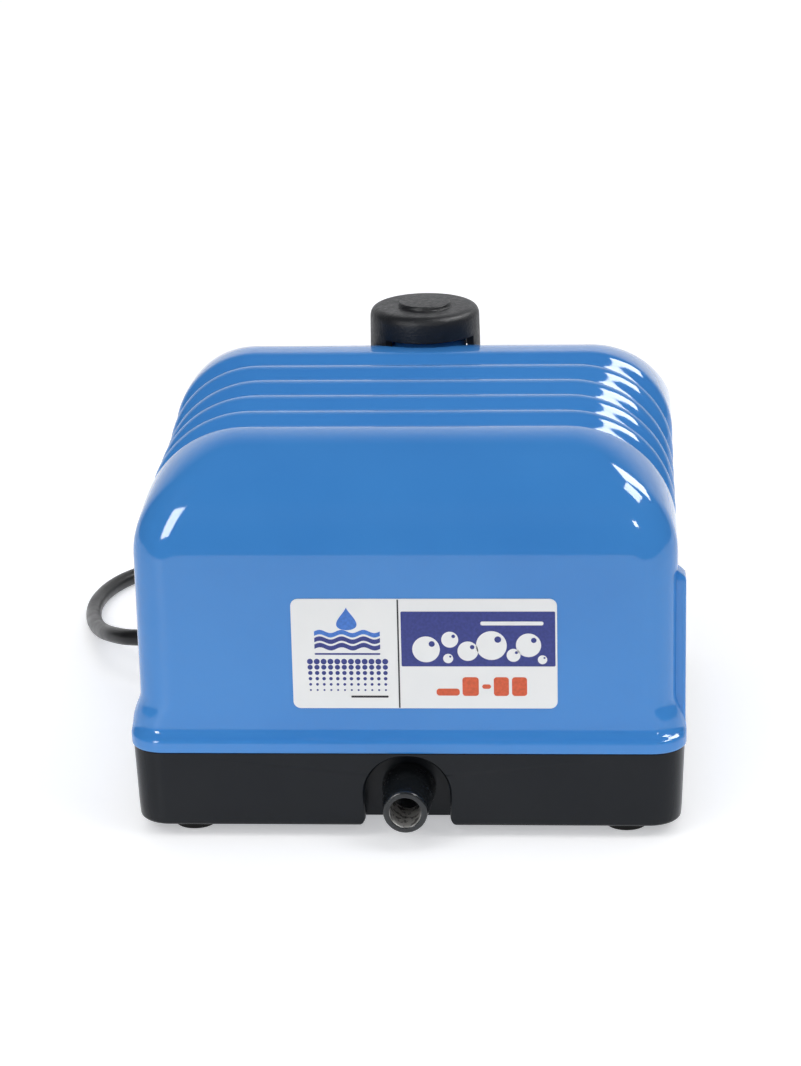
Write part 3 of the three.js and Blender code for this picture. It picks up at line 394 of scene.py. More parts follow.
def turned(name, profile, *finishes, sides=64, slot_of=None):
    """A turned piece round Z through the origin, in mm, from (radius, height) points."""
    points, faces, slots = [], [], []
    rows = []
    for radius, height in profile:
        if radius < 1e-6:
            rows.append([len(points)])
            points.append((0, 0, height))
            continue
        rows.append(list(range(len(points), len(points) + sides)))
        points += [(radius * math.cos(a), radius * math.sin(a), height)
                   for a in (2 * math.pi * side / sides for side in range(sides))]
    for index, (row, following) in enumerate(zip(rows, rows[1:])):
        slot = slot_of(index) if slot_of else 0
        for side in range(sides):
            near = (side + 1) % sides
            if len(row) == len(following) == 1:
                continue
            if len(row) == 1:
                corners = (row[0], following[near], following[side])
            elif len(following) == 1:
                corners = (row[side], row[near], following[0])
            else:
                corners = (row[side], row[near], following[near], following[side])
            faces.append(corners)
            slots.append(slot)
    return build(name, points, faces, *finishes, slots=slots)


def place(piece, x=0.0, y=0.0, z=0.0, turn=None):
    """Turns and moves the mesh itself, in mm, so that the object stays at the origin."""
    matrix = Matrix.Translation(Vector((x, y, z)) * MM)
    if turn is not None:
        matrix = matrix @ Matrix.Rotation(math.radians(turn[1]), 4, turn[0])
    piece.data.transform(matrix)
    return piece


def outline(half_x, half_y, radius, steps=16):
    """Corner points of a rounded rectangle, counterclockwise."""
    points = []
    for corner, (sx, sy) in enumerate(((1, 1), (-1, 1), (-1, -1), (1, -1))):
        for step in range(steps + 1):
            angle = (corner + step / steps) * math.pi / 2
            points.append((sx * (half_x - radius) + radius * math.cos(angle),
                           sy * (half_y - radius) + radius * math.sin(angle)))
    return points


def skin(name, rings, *finishes):
    """A skin through rings of equal numbers of points, capped at both ends."""
    count = len(rings[0])
    points = [point for ring in rings for point in ring]
    faces = []
    for level in range(len(rings) - 1):
        for index in range(count):
            following = (index + 1) % count
            base = level * count
            faces.append((base + index, base + following, base + count + following, base + count + index))
    faces.append(tuple(reversed(range(count))))
    faces.append(tuple(range(len(points) - count, len(points))))
    return build(name, points, faces, *finishes)


def slab(name, levels, *finishes, steps=16, at=(0, 0)):
    """Stacked rounded rectangles from (height, half x, half y, corner radius)."""
    rings = [[(x + at[0], y + at[1], z) for x, y in outline(half_x, half_y, radius, steps)]
             for z, half_x, half_y, radius in levels]
    return skin(name, rings, *finishes)


def box(name, low, high):
    """A plain block, used only as a cutter or an inner part of a larger piece."""
    middle = [(a + b) / 2 for a, b in zip(low, high)]
    half = [(b - a) / 2 for a, b in zip(low, high)]
    points = [tuple(m + s * h for m, s, h in zip(middle, signs, half))
              for signs in ((-1, -1, -1), (1, -1, -1), (1, 1, -1), (-1, 1, -1),
                            (-1, -1, 1), (1, -1, 1), (1, 1, 1), (-1, 1, 1))]
    faces = [(3, 2, 1, 0), (4, 5, 6, 7), (0, 1, 5, 4), (1, 2, 6, 5), (2, 3, 7, 6), (3, 0, 4, 7)]
    return build(name, points, faces)


def rod(name, axis, radius, start, end, x=0.0, y=0.0, sides=64):
    """A cylinder along X, Y or Z from start to end; x and y are its place across."""
    piece = turned(name, [(0, start), (radius, start), (radius, end), (0, end)], sides=sides)
    if axis == "x":
        return place(piece, 0, x, y, turn=("Y", 90))
    if axis == "y":
        return place(piece, x, 0, y, turn=("X", -90))
    return place(piece, x, y, 0)


def ease(t):
    t = min(max(t, 0.0), 1.0)
    return t * t * (3 - 2 * t)


def show(piece, body, *nodes, slot=None):
    """The piece rides on a body and stands for the CAD nodes; slot is not used."""
    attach(piece, body)
    if nodes:
        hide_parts(*nodes)
    return piece


# ---- Mains lead --------------------------------------------------------------------------------
# The free stretch: out of the strain relief, down to the floor and round behind the pump.
LEAD_ROUTE = [
    (-100.3, 59, 16), (-103, 59.1, 16), (-107, 60.8, 15.6), (-112, 64, 14.6), (-117.5, 71, 12.8),
    (-122, 80.5, 10.2), (-126.3, 92, 7.4), (-130, 105, 5), (-132.6, 118, 3.5), (-133.5, 132, 3),
    (-131, 147, 3), (-124.5, 161, 3), (-113, 172.5, 3), (-98.5, 180, 3), (-82, 184.4, 3),
    (-64, 187.2, 3), (-45, 189.2, 3.6), (-26, 189.5, 4.3),
]
TAIL_ROUTE = [(-3.5, 183, 10.2), (5, 183, 9.7), (14, 183, 8.6), (23, 183, 8.05), (31, 183, 8)]
COIL_CENTRE = (-26.0, 144.0)


def spline(points, steps=4):
    """Points on one smooth curve through the given ones."""
    spots = [Vector(p) for p in points]
    curve = []
    for index in range(len(spots) - 1):
        before = spots[max(index - 1, 0)]
        start, end = spots[index], spots[index + 1]
        after = spots[min(index + 2, len(spots) - 1)]
        for step in range(steps):
            t = step / steps
            curve.append(0.5 * (2 * start + (end - before) * t
                                + (2 * before - 5 * start + 4 * end - after) * t ** 2
                                + (3 * start - before - 3 * end + after) * t ** 3))
    curve.append(spots[-1])
    return curve


def coil_points():
    """Six turns in two layers, each starting beside the last, laid clockwise from the top."""
    radii = [45.5, 39.15, 33.05, 27.0, 27.0, 33.05, 39.15]
    heights = [4.3, 4.2, 4.2, 4.2, 10.2, 10.2, 10.2]
    steps = 36
    points = []
    for turn in range(6):
        crossing = 0.2 if turn else 0.3
        for step in range(steps):
            share = ease(step / steps / crossing)
            radius = radii[turn] + (radii[turn + 1] - radii[turn]) * share
            height = heights[turn] + (heights[turn + 1] - heights[turn]) * share
            if turn == 3:
                # The climb to the upper layer bows inward, clear of the turn that it passes.
                radius -= 3.2 * math.sin(math.pi * min(step / steps / 0.3, 1)) ** 2
            angle = math.pi / 2 - 2 * math.pi * step / steps
            points.append((COIL_CENTRE[0] + radius * math.cos(angle),
                           COIL_CENTRE[1] + radius * math.sin(angle), height))
    points.append((COIL_CENTRE[0], COIL_CENTRE[1] + radii[-1], heights[-1]))
    return points


def make_lead():
    route = spline(LEAD_ROUTE)[:-1] + [Vector(p) for p in coil_points()]
    route += spline([(-18, 183.15, 10.2)] + TAIL_ROUTE, 3)
    curve = bpy.data.curves.new("mains_lead", "CURVE")
    curve.dimensions = "3D"
    curve.bevel_depth = CORD_DIAMETER / 2 * MM
    curve.bevel_resolution = 6
    curve.use_fill_caps = True
    line = curve.splines.new("POLY")
    line.points.add(len(route) - 1)
    for point, spot in zip(line.points, route):
        point.co = (*(Vector(spot) * MM), 1)
    line.use_smooth = True
    lead = bpy.data.objects.new("mains_lead", curve)
    bpy.context.scene.collection.objects.link(lead)
    curve.materials.append(FINISH["cord_jacket"])
    return show(lead, "housing", "cord_run", "cord_coil", "cord_tail", slot="cord_jacket")


lead = make_lead()


# ---- Top cover ---------------------------------------------------------------------------------
def shoulder_fall(distance, radius):
    inside = min(max(radius - distance, 0.0), radius)
    return radius - math.sqrt(radius * radius - inside * inside)


def flute(y):
    if not FRONT_CREST < y < REAR_CREST:
        return 0.0
    return FLUTE_DEPTH * (1 - math.cos((y - FRONT_CREST) / RIB_PITCH * 2 * math.pi)) / 2


def section(y):
    """Half width without flutes, height without flutes and corner rounding at a place along Y."""
    side = shoulder_fall(y + WALL_Y, WALL_CORNER) + shoulder_fall(WALL_Y - y, WALL_CORNER)
    top = shoulder_fall(y + WALL_Y, FRONT_SHOULDER) + shoulder_fall(WALL_Y - y, REAR_SHOULDER)
    rearward = min(max((y - FRONT_CREST - 3 * RIB_PITCH) / (2 * RIB_PITCH), 0), 1)
    corner = TOP_CORNER + (REAR_TOP_CORNER - TOP_CORNER) * rearward - top
    return WALL_X - side, CREST - top, max(corner, 3.0)


def stations(inset=0.0, fine=1):
    """Places along Y for the cover's sections, closest together where the shell turns."""
    places = []
    front_angles = range(0, 90, 3 * fine)
    places += [-WALL_Y + FRONT_SHOULDER * (1 - math.cos(math.radians(a))) for a in front_angles]
    steps = 20 // fine
    places += [FRONT_CREST + RIB_PITCH * s / steps for s in range(FLUTES * steps + 1)]
    rear_angles = range(90 - 3 * fine, -1, -3 * fine)
    places += [WALL_Y - REAR_SHOULDER * (1 - math.cos(math.radians(a))) for a in rear_angles]
    return [y for y in places if abs(y) <= WALL_Y - inset + 1e-9]


def arch(y, bottom, inset=0.0, grooved=True, fine=1):
    """Points of one upright section from its left foot over the top to its right foot."""
    half, height, corner = section(y)
    depth = flute(y) if grooved else 0.0
    half, height, corner = half - depth - inset, height - depth - inset, max(corner - inset, 4)
    left = []
    leg_steps, arc_steps, top_steps = 22 // fine, 24 // fine, 16 // fine
    for step in range(leg_steps):
        left.append((-half, bottom + (height - corner - bottom) * step / leg_steps))
    for step in range(arc_steps + 1):
        angle = math.pi - math.pi / 2 * step / arc_steps
        left.append((-half + corner + corner * math.cos(angle), height - corner + corner * math.sin(angle)))
    across = half - corner
    top = [(-across + 2 * across * step / top_steps, height) for step in range(1, top_steps)]
    right = [(-x, z) for x, z in reversed(left)]
    return [(x, y + FRONT_SHIFT, z) for x, z in left + top + right]


# The flange under the walls: heights with how far the sides and the two ends have come out to the lip.
FLARE = [
    (FLARE_TOP, 0.0, 0.0), (44.6, 0.1, 0.0), (43.2, 0.28, 0.0), (41.8, 0.48, 0.0), (40.4, 0.65, 0.0),
    (39.2, 0.78, 0.0), (38.2, 0.86, 0.0), (37.3, 0.91, 0.01), (36.6, 0.94, 0.05), (36.0, 0.955, 0.13),
    (35.5, 0.965, 0.26), (35.1, 0.97, 0.42), (34.8, 0.975, 0.57), (34.5, 0.98, 0.74), (34.2, 0.985, 0.88),
    (33.8, 0.995, 0.97), (33.3, 1.0, 1.0), (31.0, 1.0, 1.0), (30.5, 0.985, 0.985), (30.15, 0.93, 0.93),
    (COVER_BOTTOM, 0.85, 0.85),
]


def flange_point(x, y):
    """Where a point of the walls' outline lies on the larger outline of the lip."""
    wall_flat_x, wall_flat_y = WALL_X - WALL_CORNER, WALL_Y - WALL_CORNER
    lip_flat_x, lip_flat_y = HALF_X - SKIRT_CORNER, HALF_Y - SKIRT_CORNER
    over_x = max(abs(x) - wall_flat_x, 0) / WALL_CORNER
    over_y = max(abs(y) - wall_flat_y, 0) / WALL_CORNER
    flat_x = min(abs(x), wall_flat_x) / wall_flat_x * lip_flat_x
    flat_y = min(abs(y), wall_flat_y) / wall_flat_y * lip_flat_y
    return (math.copysign(flat_x + over_x * SKIRT_CORNER, x),
            math.copysign(flat_y + over_y * SKIRT_CORNER, y))


def wall_outline(places, front_steps=24):
    """The walls' outline without flutes, as (x, y, flute depth), round from the front left."""
    left = [(-section(y)[0], y, flute(y)) for y in places]
    right = [(-x, y, depth) for x, y, depth in reversed(left)]
    rear_half = -left[-1][0]
    front_half = -left[0][0]
    rear = [(-rear_half + 2 * rear_half * s / front_steps, places[-1], 0.0) for s in range(1, front_steps)]
    front = [(front_half - 2 * front_half * s / front_steps, places[0], 0.0) for s in range(1, front_steps)]
    return left + rear + right + front


def outer_shell():
    """The cover's outside as one closed solid: arches over the top, the flange round the foot."""
    places = stations()
    arches = [arch(y, FLARE_TOP) for y in places]
    count = len(arches[0])
    points = [p for row in arches for p in row]
    faces = []
    for row in range(len(arches) - 1):
        for index in range(count - 1):
            a = row * count + index
            faces.append((a, a + count, a + count + 1, a + 1))
    steps = 24
    loop = wall_outline(places, steps)
    last = (len(arches) - 1) * count
    rear_extra = list(range(len(points), len(points) + steps - 1))
    points += [(x, y + FRONT_SHIFT, FLARE_TOP) for x, y, _ in loop[len(places):len(places) + steps - 1]]
    front_extra = list(range(len(points), len(points) + steps - 1))
    points += [(x, y + FRONT_SHIFT, FLARE_TOP) for x, y, _ in loop[-(steps - 1):]]
    faces.append(tuple(range(count)) + tuple(front_extra))
    faces.append(tuple(reversed(range(last, last + count))) + tuple(rear_extra))
    ring = ([row * count for row in range(len(arches))] + rear_extra
            + [row * count + count - 1 for row in reversed(range(len(arches)))] + front_extra)
    for height, side_out, end_out in FLARE[1:]:
        fade = ease((height - FLUTE_FOOT) / (FLARE_TOP - FLUTE_FOOT))
        following = list(range(len(points), len(points) + len(ring)))
        for x, y, depth in loop:
            lip_x, lip_y = flange_point(x, y)
            narrow_x = x - math.copysign(depth * fade, x)
            points.append((narrow_x + (lip_x - narrow_x) * side_out,
                           y + (lip_y - y) * end_out + FRONT_SHIFT, height))
        for index in range(len(ring)):
            near = (index + 1) % len(ring)
            faces.append((ring[index], ring[near], following[near], following[index]))
        ring = following
    faces.append(tuple(reversed(ring)))
    return clean(build("top_cover_fine", points, faces, "blue_paint"))


def inner_room():
    """The hollow inside the cover, less the well under the intake cap and the screw pillars."""
    inset = 5.6
    places = stations(inset, 3)
    rings = [arch(y, FLARE_TOP - 8, inset, False, 3) for y in [-WALL_Y + inset] + places + [WALL_Y - inset]]
    room = clean(skin("inner_room", rings))
    low = slab("low_room", [(COVER_BOTTOM - 2, 84.8, 82.8, 8), (FLARE_TOP - 7, 84.8, 82.8, 8)], steps=6)
    place(low, 0, FRONT_SHIFT, 0)
    combine(room, "UNION", clean(low))
    well = rod("well", "z", CAP_RADIUS + 3.5, CAP_RIM - 12.2, 150, 0, CAP_Y, 48)
    combine(room, "DIFFERENCE", well)
    for x, y in SCREWS:
        outward = math.copysign(1.5, y - FRONT_SHIFT)
        pillar = box("pillar", (x - 5, y + outward - 4.5, 20), (x + 5, y + outward + 4.5, 62))
        combine(room, "DIFFERENCE", pillar)
    return room


def make_cover():
    cover = outer_shell()
    rib = slab("side_rib", [
        (33, 5, 3.9, 0.9), (84.9, 5, 3.9, 0.9), (85.9, 4.75, 3.85, 0.9),
        (86.6, 4.1, 3.75, 0.8), (88.2, 2.2, 3.5, 0.6)], steps=8)
    combine(cover, "UNION", clean(place(rib, SIDE_RIB_X, SIDE_RIB_Y, 0)))
    pocket = rod("pocket", "z", CAP_RADIUS + 1, CAP_RIM - 0.5, 160, 0, CAP_Y, 128)
    combine(cover, "DIFFERENCE", pocket)
    seat_profile = rounded([
        (0, 100, 0), (SEAT_RADIUS, 100, 0), (SEAT_RADIUS, SEAT_TOP, 0.8), (11.9, SEAT_TOP, 0.4),
        (11.9, 125.5, 0), (7, 125.5, 0), (7, 122, 0), (0, 122, 0)])
    combine(cover, "UNION", clean(place(turned("seat", seat_profile, "blue_paint", sides=96), 0, CAP_Y, 0)))
    combine(cover, "DIFFERENCE", inner_room())
    combine(cover, "DIFFERENCE", rod("air_way", "z", 7, 85, 123, 0, CAP_Y, 48))
    for x, y in SCREWS:
        combine(cover, "DIFFERENCE", rod("pilot", "z", 2.3, 20, 53, x, y, 20))
    groove = slab("groove", [(28, 88.6, 86.6, 9.8), (32.3, 88.6, 86.6, 9.8)], steps=8)
    inner = slab("groove_core", [(27, 86, 84, 7.8), (33, 86, 84, 7.8)], steps=8)
    combine(groove, "DIFFERENCE", inner)
    combine(cover, "DIFFERENCE", place(groove, 0, FRONT_SHIFT, 0))
    clean(cover, 30)
    cover.name = "cover_shell"
    return show(cover, "housing", "top_cover", slot="blue_paint")


make_cover()


# ---- Base --------------------------------------------------------------------------------------
def recess(name, sections, bottom, foot=0.0, steps=20):
    """An arch-topped block along Y from (y, half width, top, corner) sections, with feet that curve out."""
    rings = []
    for y, half_width, top, corner in sections:
        left = [(-half_width - foot, bottom)]
        if foot:
            left += [(-half_width - foot + foot * math.sin(a), BASE_BOTTOM + foot - foot * math.cos(a))
                     for a in (math.pi / 16 * step for step in range(9))]
        left += [(-half_width + corner - corner * math.cos(a), top - corner + corner * math.sin(a))
                 for a in (math.pi / 2 * step / steps for step in range(steps + 1))]
        points = left + [(-x, z) for x, z in reversed(left)]
        rings.append([(x, y + FRONT_SHIFT, z) for x, z in points])
    return clean(skin(name, rings))


def make_base():
    profile = rounded([(5.5, BASE_BOTTOM, 0), (1.7, BASE_BOTTOM, 1.8), (1.4, 9, 2), (0.6, BASE_TOP, 0)], 7)
    levels = [(z, HALF_X - inset, HALF_Y - inset, SKIRT_CORNER - inset * 0.5) for inset, z in profile]
    base = clean(place(slab("base_fine", levels, "black_plastic", steps=20), 0, FRONT_SHIFT, 0))
    hollow = slab("hollow", [(BASE_BOTTOM + 3, 84.6, 82.6, 7), (32, 84.6, 82.6, 7)], steps=8)
    combine(base, "DIFFERENCE", clean(place(hollow, 0, FRONT_SHIFT, 0)))
    walls = recess("recess_walls", [(-84, 16.3, 29.65, 12.6), (-74.6, 16.3, 29.65, 12.6)], 6)
    for x, y in SCREWS:
        combine(base, "UNION", rod("boss", "z", 5, 7, BASE_TOP, x, y, 32))
    combine(base, "UNION", walls)
    mouth = [(-92, 15.9, 29.3, 15.2), (-87.8, 15.9, 29.3, 15.2), (-87.1, 14.7, 28.9, 14.1),
             (-86.2, 13.9, 28.5, 13.4), (-85.0, 13.7, 28.4, 13.2), (-77.2, 13.7, 28.4, 13.2)]
    combine(base, "DIFFERENCE", recess("recess", mouth, 2, 3.0))
    for x, y in SCREWS:
        combine(base, "DIFFERENCE", rod("screw_hole", "z", 2.3, 0, 40, x, y, 24))
        combine(base, "DIFFERENCE", rod("head_hole", "z", 4, 0, 12, x, y, 32))
    for x, y in FEET.values():
        combine(base, "DIFFERENCE", rod("foot_hole", "z", 2.2, 0, 12, x, y, 24))
    combine(base, "DIFFERENCE", rod("nozzle_hole", "y", 5.9, -80, -60, 0, NOZZLE_Z, 48))
    combine(base, "DIFFERENCE", rod("cord_hole", "x", 5.8, -96, -70, RELIEF_Y, RELIEF_Z, 48))
    soften(base, 0.45, 50)
    clean(base, 40)
    base.name = "base_shell"
    return show(base, "housing", "base_casing", slot="black_plastic")


make_base()


# ---- Feet, nozzle and cap ----------------------------------------------------------------------
def make_feet():
    profile = rounded([
        (0, 0.5, 0), (3.6, 0.5, 0.2), (4, 0, 0.2), (6.8, 0, 0.9), (7.5, 2, 1.1),
        (7.5, 3.7, 0.35), (1.9, 3.7, 0.2), (1.9, 10, 0.3), (0, 10, 0)])
    for node, (x, y) in FEET.items():
        foot = clean(place(turned(f"{node}_moulded", profile, "rubber", sides=48), x, y, 0))
        show(foot, "housing", node, slot="rubber")


def make_nozzle():
    # Heights run along the nozzle from its tip.
    profile = rounded([
        (4.95, 9, 0), (4.95, 0, 0.7), (7.1, 0, 0.9), (7.25, 1.6, 0), (8.8, NOZZLE_LENGTH, 0.5),
        (5.6, NOZZLE_LENGTH, 0), (5.6, 27, 0.3), (4.4, 28, 0), (4.4, 40, 0.4), (2.8, 40, 0),
        (2.8, 17, 0), (4.95, 15.5, 0), (4.95, 9, 0),
    ], 6)
    # The bare bore is the stretch inside the tip.
    bare_rows = [i for i, ((r1, h1), (r2, h2)) in enumerate(zip(profile, profile[1:]))
                 if max(r1, r2) < 5.2 and max(h1, h2) <= 16]
    nozzle = turned("nozzle_cast", profile, "nozzle_metal", "bare_metal", sides=96,
                    slot_of=lambda i: 1 if i in bare_rows else 0)
    place(nozzle, 0, NOZZLE_TIP_Y, NOZZLE_Z, turn=("X", -90))
    clean(nozzle, 40)
    return show(nozzle, "housing", "outlet_nozzle", slot="nozzle_metal")


def make_cap():
    top = CAP_TOP - 1.4
    inner = top - 2.4
    profile = rounded([
        (0, CAP_TOP, 0), (8.9, CAP_TOP, 0.7), (9.2, CAP_TOP - 0.9, 0.2), (9.5, top - 0.15, 0.5),
        (10.6, top, 0.4), (CAP_RADIUS - 0.3, top, 3.6), (CAP_RADIUS, CAP_RIM, 0.3),
        (CAP_RADIUS - 1.8, CAP_RIM, 0.3),
        (CAP_RADIUS - 2.2, inner, 2), (0, inner, 0)], 8)
    cap = clean(turned("cap_moulded", profile, "cap_plastic", sides=128))
    for turn in WINDOW_TURNS:
        cutter = box("window", (CAP_RADIUS - 8, -WINDOW_HALF, WINDOW_TOP - 12),
                     (CAP_RADIUS + 8, WINDOW_HALF, WINDOW_TOP))
        combine(cap, "DIFFERENCE", place(cutter, turn=("Z", turn)))
    for turn in (0, 28, 180, 208):
        rib = box("rib", (CAP_RADIUS - 4.3, -0.8, CAP_RIM + 4.5), (CAP_RADIUS - 1.7, 0.8, CAP_RIM + 13.5))
        combine(cap, "UNION", place(rib, turn=("Z", turn)))
    soften(cap, 0.25, 50)
    place(cap, 0, CAP_Y, 0)
    clean(cap, 40)
    return show(cap, "cap", "intake_cap", slot="cap_plastic")


make_feet()
make_nozzle()
make_cap()


# ---- Lead fittings and intake filter -------------------------------------------------------------
def make_strain_relief():
    """A flanged bush in the wall with a ringed tail; heights run outward from inside the base."""
    profile = rounded([
        (0, 0, 0), (7.6, 0, 0.4), (7.6, 3, 0.4), (5.3, 3.4, 0), (5.3, 14.0, 0.25), (4.5, 14.3, 0.15),
        (4.5, 15.3, 0.15), (5.1, 15.6, 0.25), (5.1, 16.8, 0.25), (4.3, 17.1, 0.15), (4.3, 18.1, 0.15),
        (4.8, 18.4, 0.25), (4.8, 19.5, 0.25), (4.1, 19.8, 0.15), (4.2, 22, 0.7), (0, 22, 0)], 3)
    relief = turned("strain_relief_moulded", profile, "rubber", sides=64)
    place(relief, -78, RELIEF_Y, RELIEF_Z, turn=("Y", -90))
    show(clean(relief, 40), "housing", "strain_relief", slot="rubber")


def make_cord_tie():
    tie = slab("cord_tie_band", [(-3, 6.9, 10.3, 3.1), (-2.8, 7.05, 10.45, 3.2), (2.8, 7.05, 10.45, 3.2),
                                 (3, 6.9, 10.3, 3.1)], "pale_plastic", steps=10)
    combine(tie, "DIFFERENCE", slab("tie_inside", [(-4, 6.2, 9.6, 2.5), (4, 6.2, 9.6, 2.5)], steps=10))
    buckle = box("tie_buckle", (-7.1, -2.4, -2.6), (-6.4, 2.4, 2.6))
    combine(tie, "UNION", buckle)
    place(tie, COIL_CENTRE[0], COIL_CENTRE[1] - 33, 7.2, turn=("Y", 90))
    show(clean(tie, 40), "housing", "cord_tie", slot="pale_plastic")


def make_plug():
    """A moulded three-pin plug on its back: grip grooves in the sides, a ringed neck, pins upward."""
    x, y, height = 58, 183, 17
    body = slab("plug_moulded", [
        (0, 20.4, 19.4, 7), (0.25, 21.2, 20.2, 7.3), (0.9, 21.9, 20.9, 7.7), (2, 22.4, 21.4, 8),
        (12, 24, 23, 8), (15.9, 24, 23, 8), (16.6, 23.7, 22.7, 7.8), (height, 23, 22, 7.2)],
        "black_plastic", steps=10)
    neck_profile = rounded([
        (0, 0, 0), (5.2, 0, 0.6), (5.5, 2, 0.3), (4.7, 2.4, 0.2), (4.7, 3.4, 0.2), (5.9, 3.8, 0.3),
        (5.9, 5.4, 0.3), (5.1, 5.8, 0.2), (5.1, 6.8, 0.2), (6.3, 7.2, 0.3), (6.5, 14, 0), (0, 14, 0)], 3)
    neck = turned("plug_neck", neck_profile, sides=48)
    combine(body, "UNION", clean(place(neck, -34, 0, 8, turn=("Y", 90))))
    for side in (-1, 1):
        for row in range(4):
            groove = rod("grip", "z", 0.9, 3, 11.5, -6 + 4 * row, side * 22.9, 20)
            combine(body, "DIFFERENCE", groove)
    combine(body, "DIFFERENCE", rod("cord_bore", "x", 3.05, -36, -26.5, 0, 8, 40))
    for px, py, half_x, half_y in PLUG_PINS.values():
        low = (px - half_x - GAP, py - half_y - GAP, height - 6)
        combine(body, "DIFFERENCE", box("pin_pocket", low, (px + half_x + GAP, py + half_y + GAP, height + 4)))
    show(clean(place(body, x, y, 0), 40), "housing", "plug_body", slot="black_plastic")
    for name, (px, py, half_x, half_y) in PLUG_PINS.items():
        tip = height + (22.7 if name == "plug_pin_earth" else 17.7)
        pin = slab(f"{name}_bar", [
            (height - 5.5, half_x, half_y, 0.5), (tip - 1.6, half_x, half_y, 0.5),
            (tip - 0.4, half_x - 0.5, half_y - 0.5, 0.4), (tip, half_x - 0.9, half_y - 0.9, 0.3)],
            "brass", steps=4)
        show(clean(place(pin, x + px, y + py, 0), 40), "housing", name, slot="brass")


def make_filter():
    profile = rounded([
        (0, 125.8, 0), (11.4, 125.8, 0.7), (11.4, 130.6, 1.3), (6, 130.8, 4), (0, 130.8, 0)], 4)
    show(clean(place(turned("filter_pad", profile, "foam", sides=72), 0, CAP_Y, 0)), "housing", "intake_filter",
         slot="foam")


make_strain_relief()
make_cord_tie()
make_plug()
make_filter()


# ---- Diaphragms --------------------------------------------------------------------------------
def make_diaphragm(side, sign, sectors=12, steps=4):
    """A rubber disc with one rolled fold, in sectors round the hub, each from the hub out to the clamped rim.
    """
    middle = (sign * DIAPHRAGM_X, FRONT_SHIFT - 4, DIAPHRAGM_Z)
    radii = [HUB_BORE, 11] + [11 + step for step in range(1, 10)] + [21, 25]
    under = [-0.8 + (1 - math.cos(2 * math.pi * (min(max(r, 11), 21) - 11) / 10)) for r in radii]
    profile = list(zip(radii, under)) + [(r, h + 1.6) for r, h in reversed(list(zip(radii, under)))]
    for sector in range(sectors):
        angles = [2 * math.pi * (sector + step / steps) / sectors for step in range(steps + 1)]
        rings = [[(middle[0] + sign * h, middle[1] + r * math.cos(a), middle[2] + r * math.sin(a))
                  for r, h in profile] for a in angles]
        piece = clean(skin(f"diaphragm_{side}_{sector + 1}", rings, "rubber"))
        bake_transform(piece)
        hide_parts(f"diaphragm_{side}")


make_diaphragm("left", -1)
make_diaphragm("right", 1)


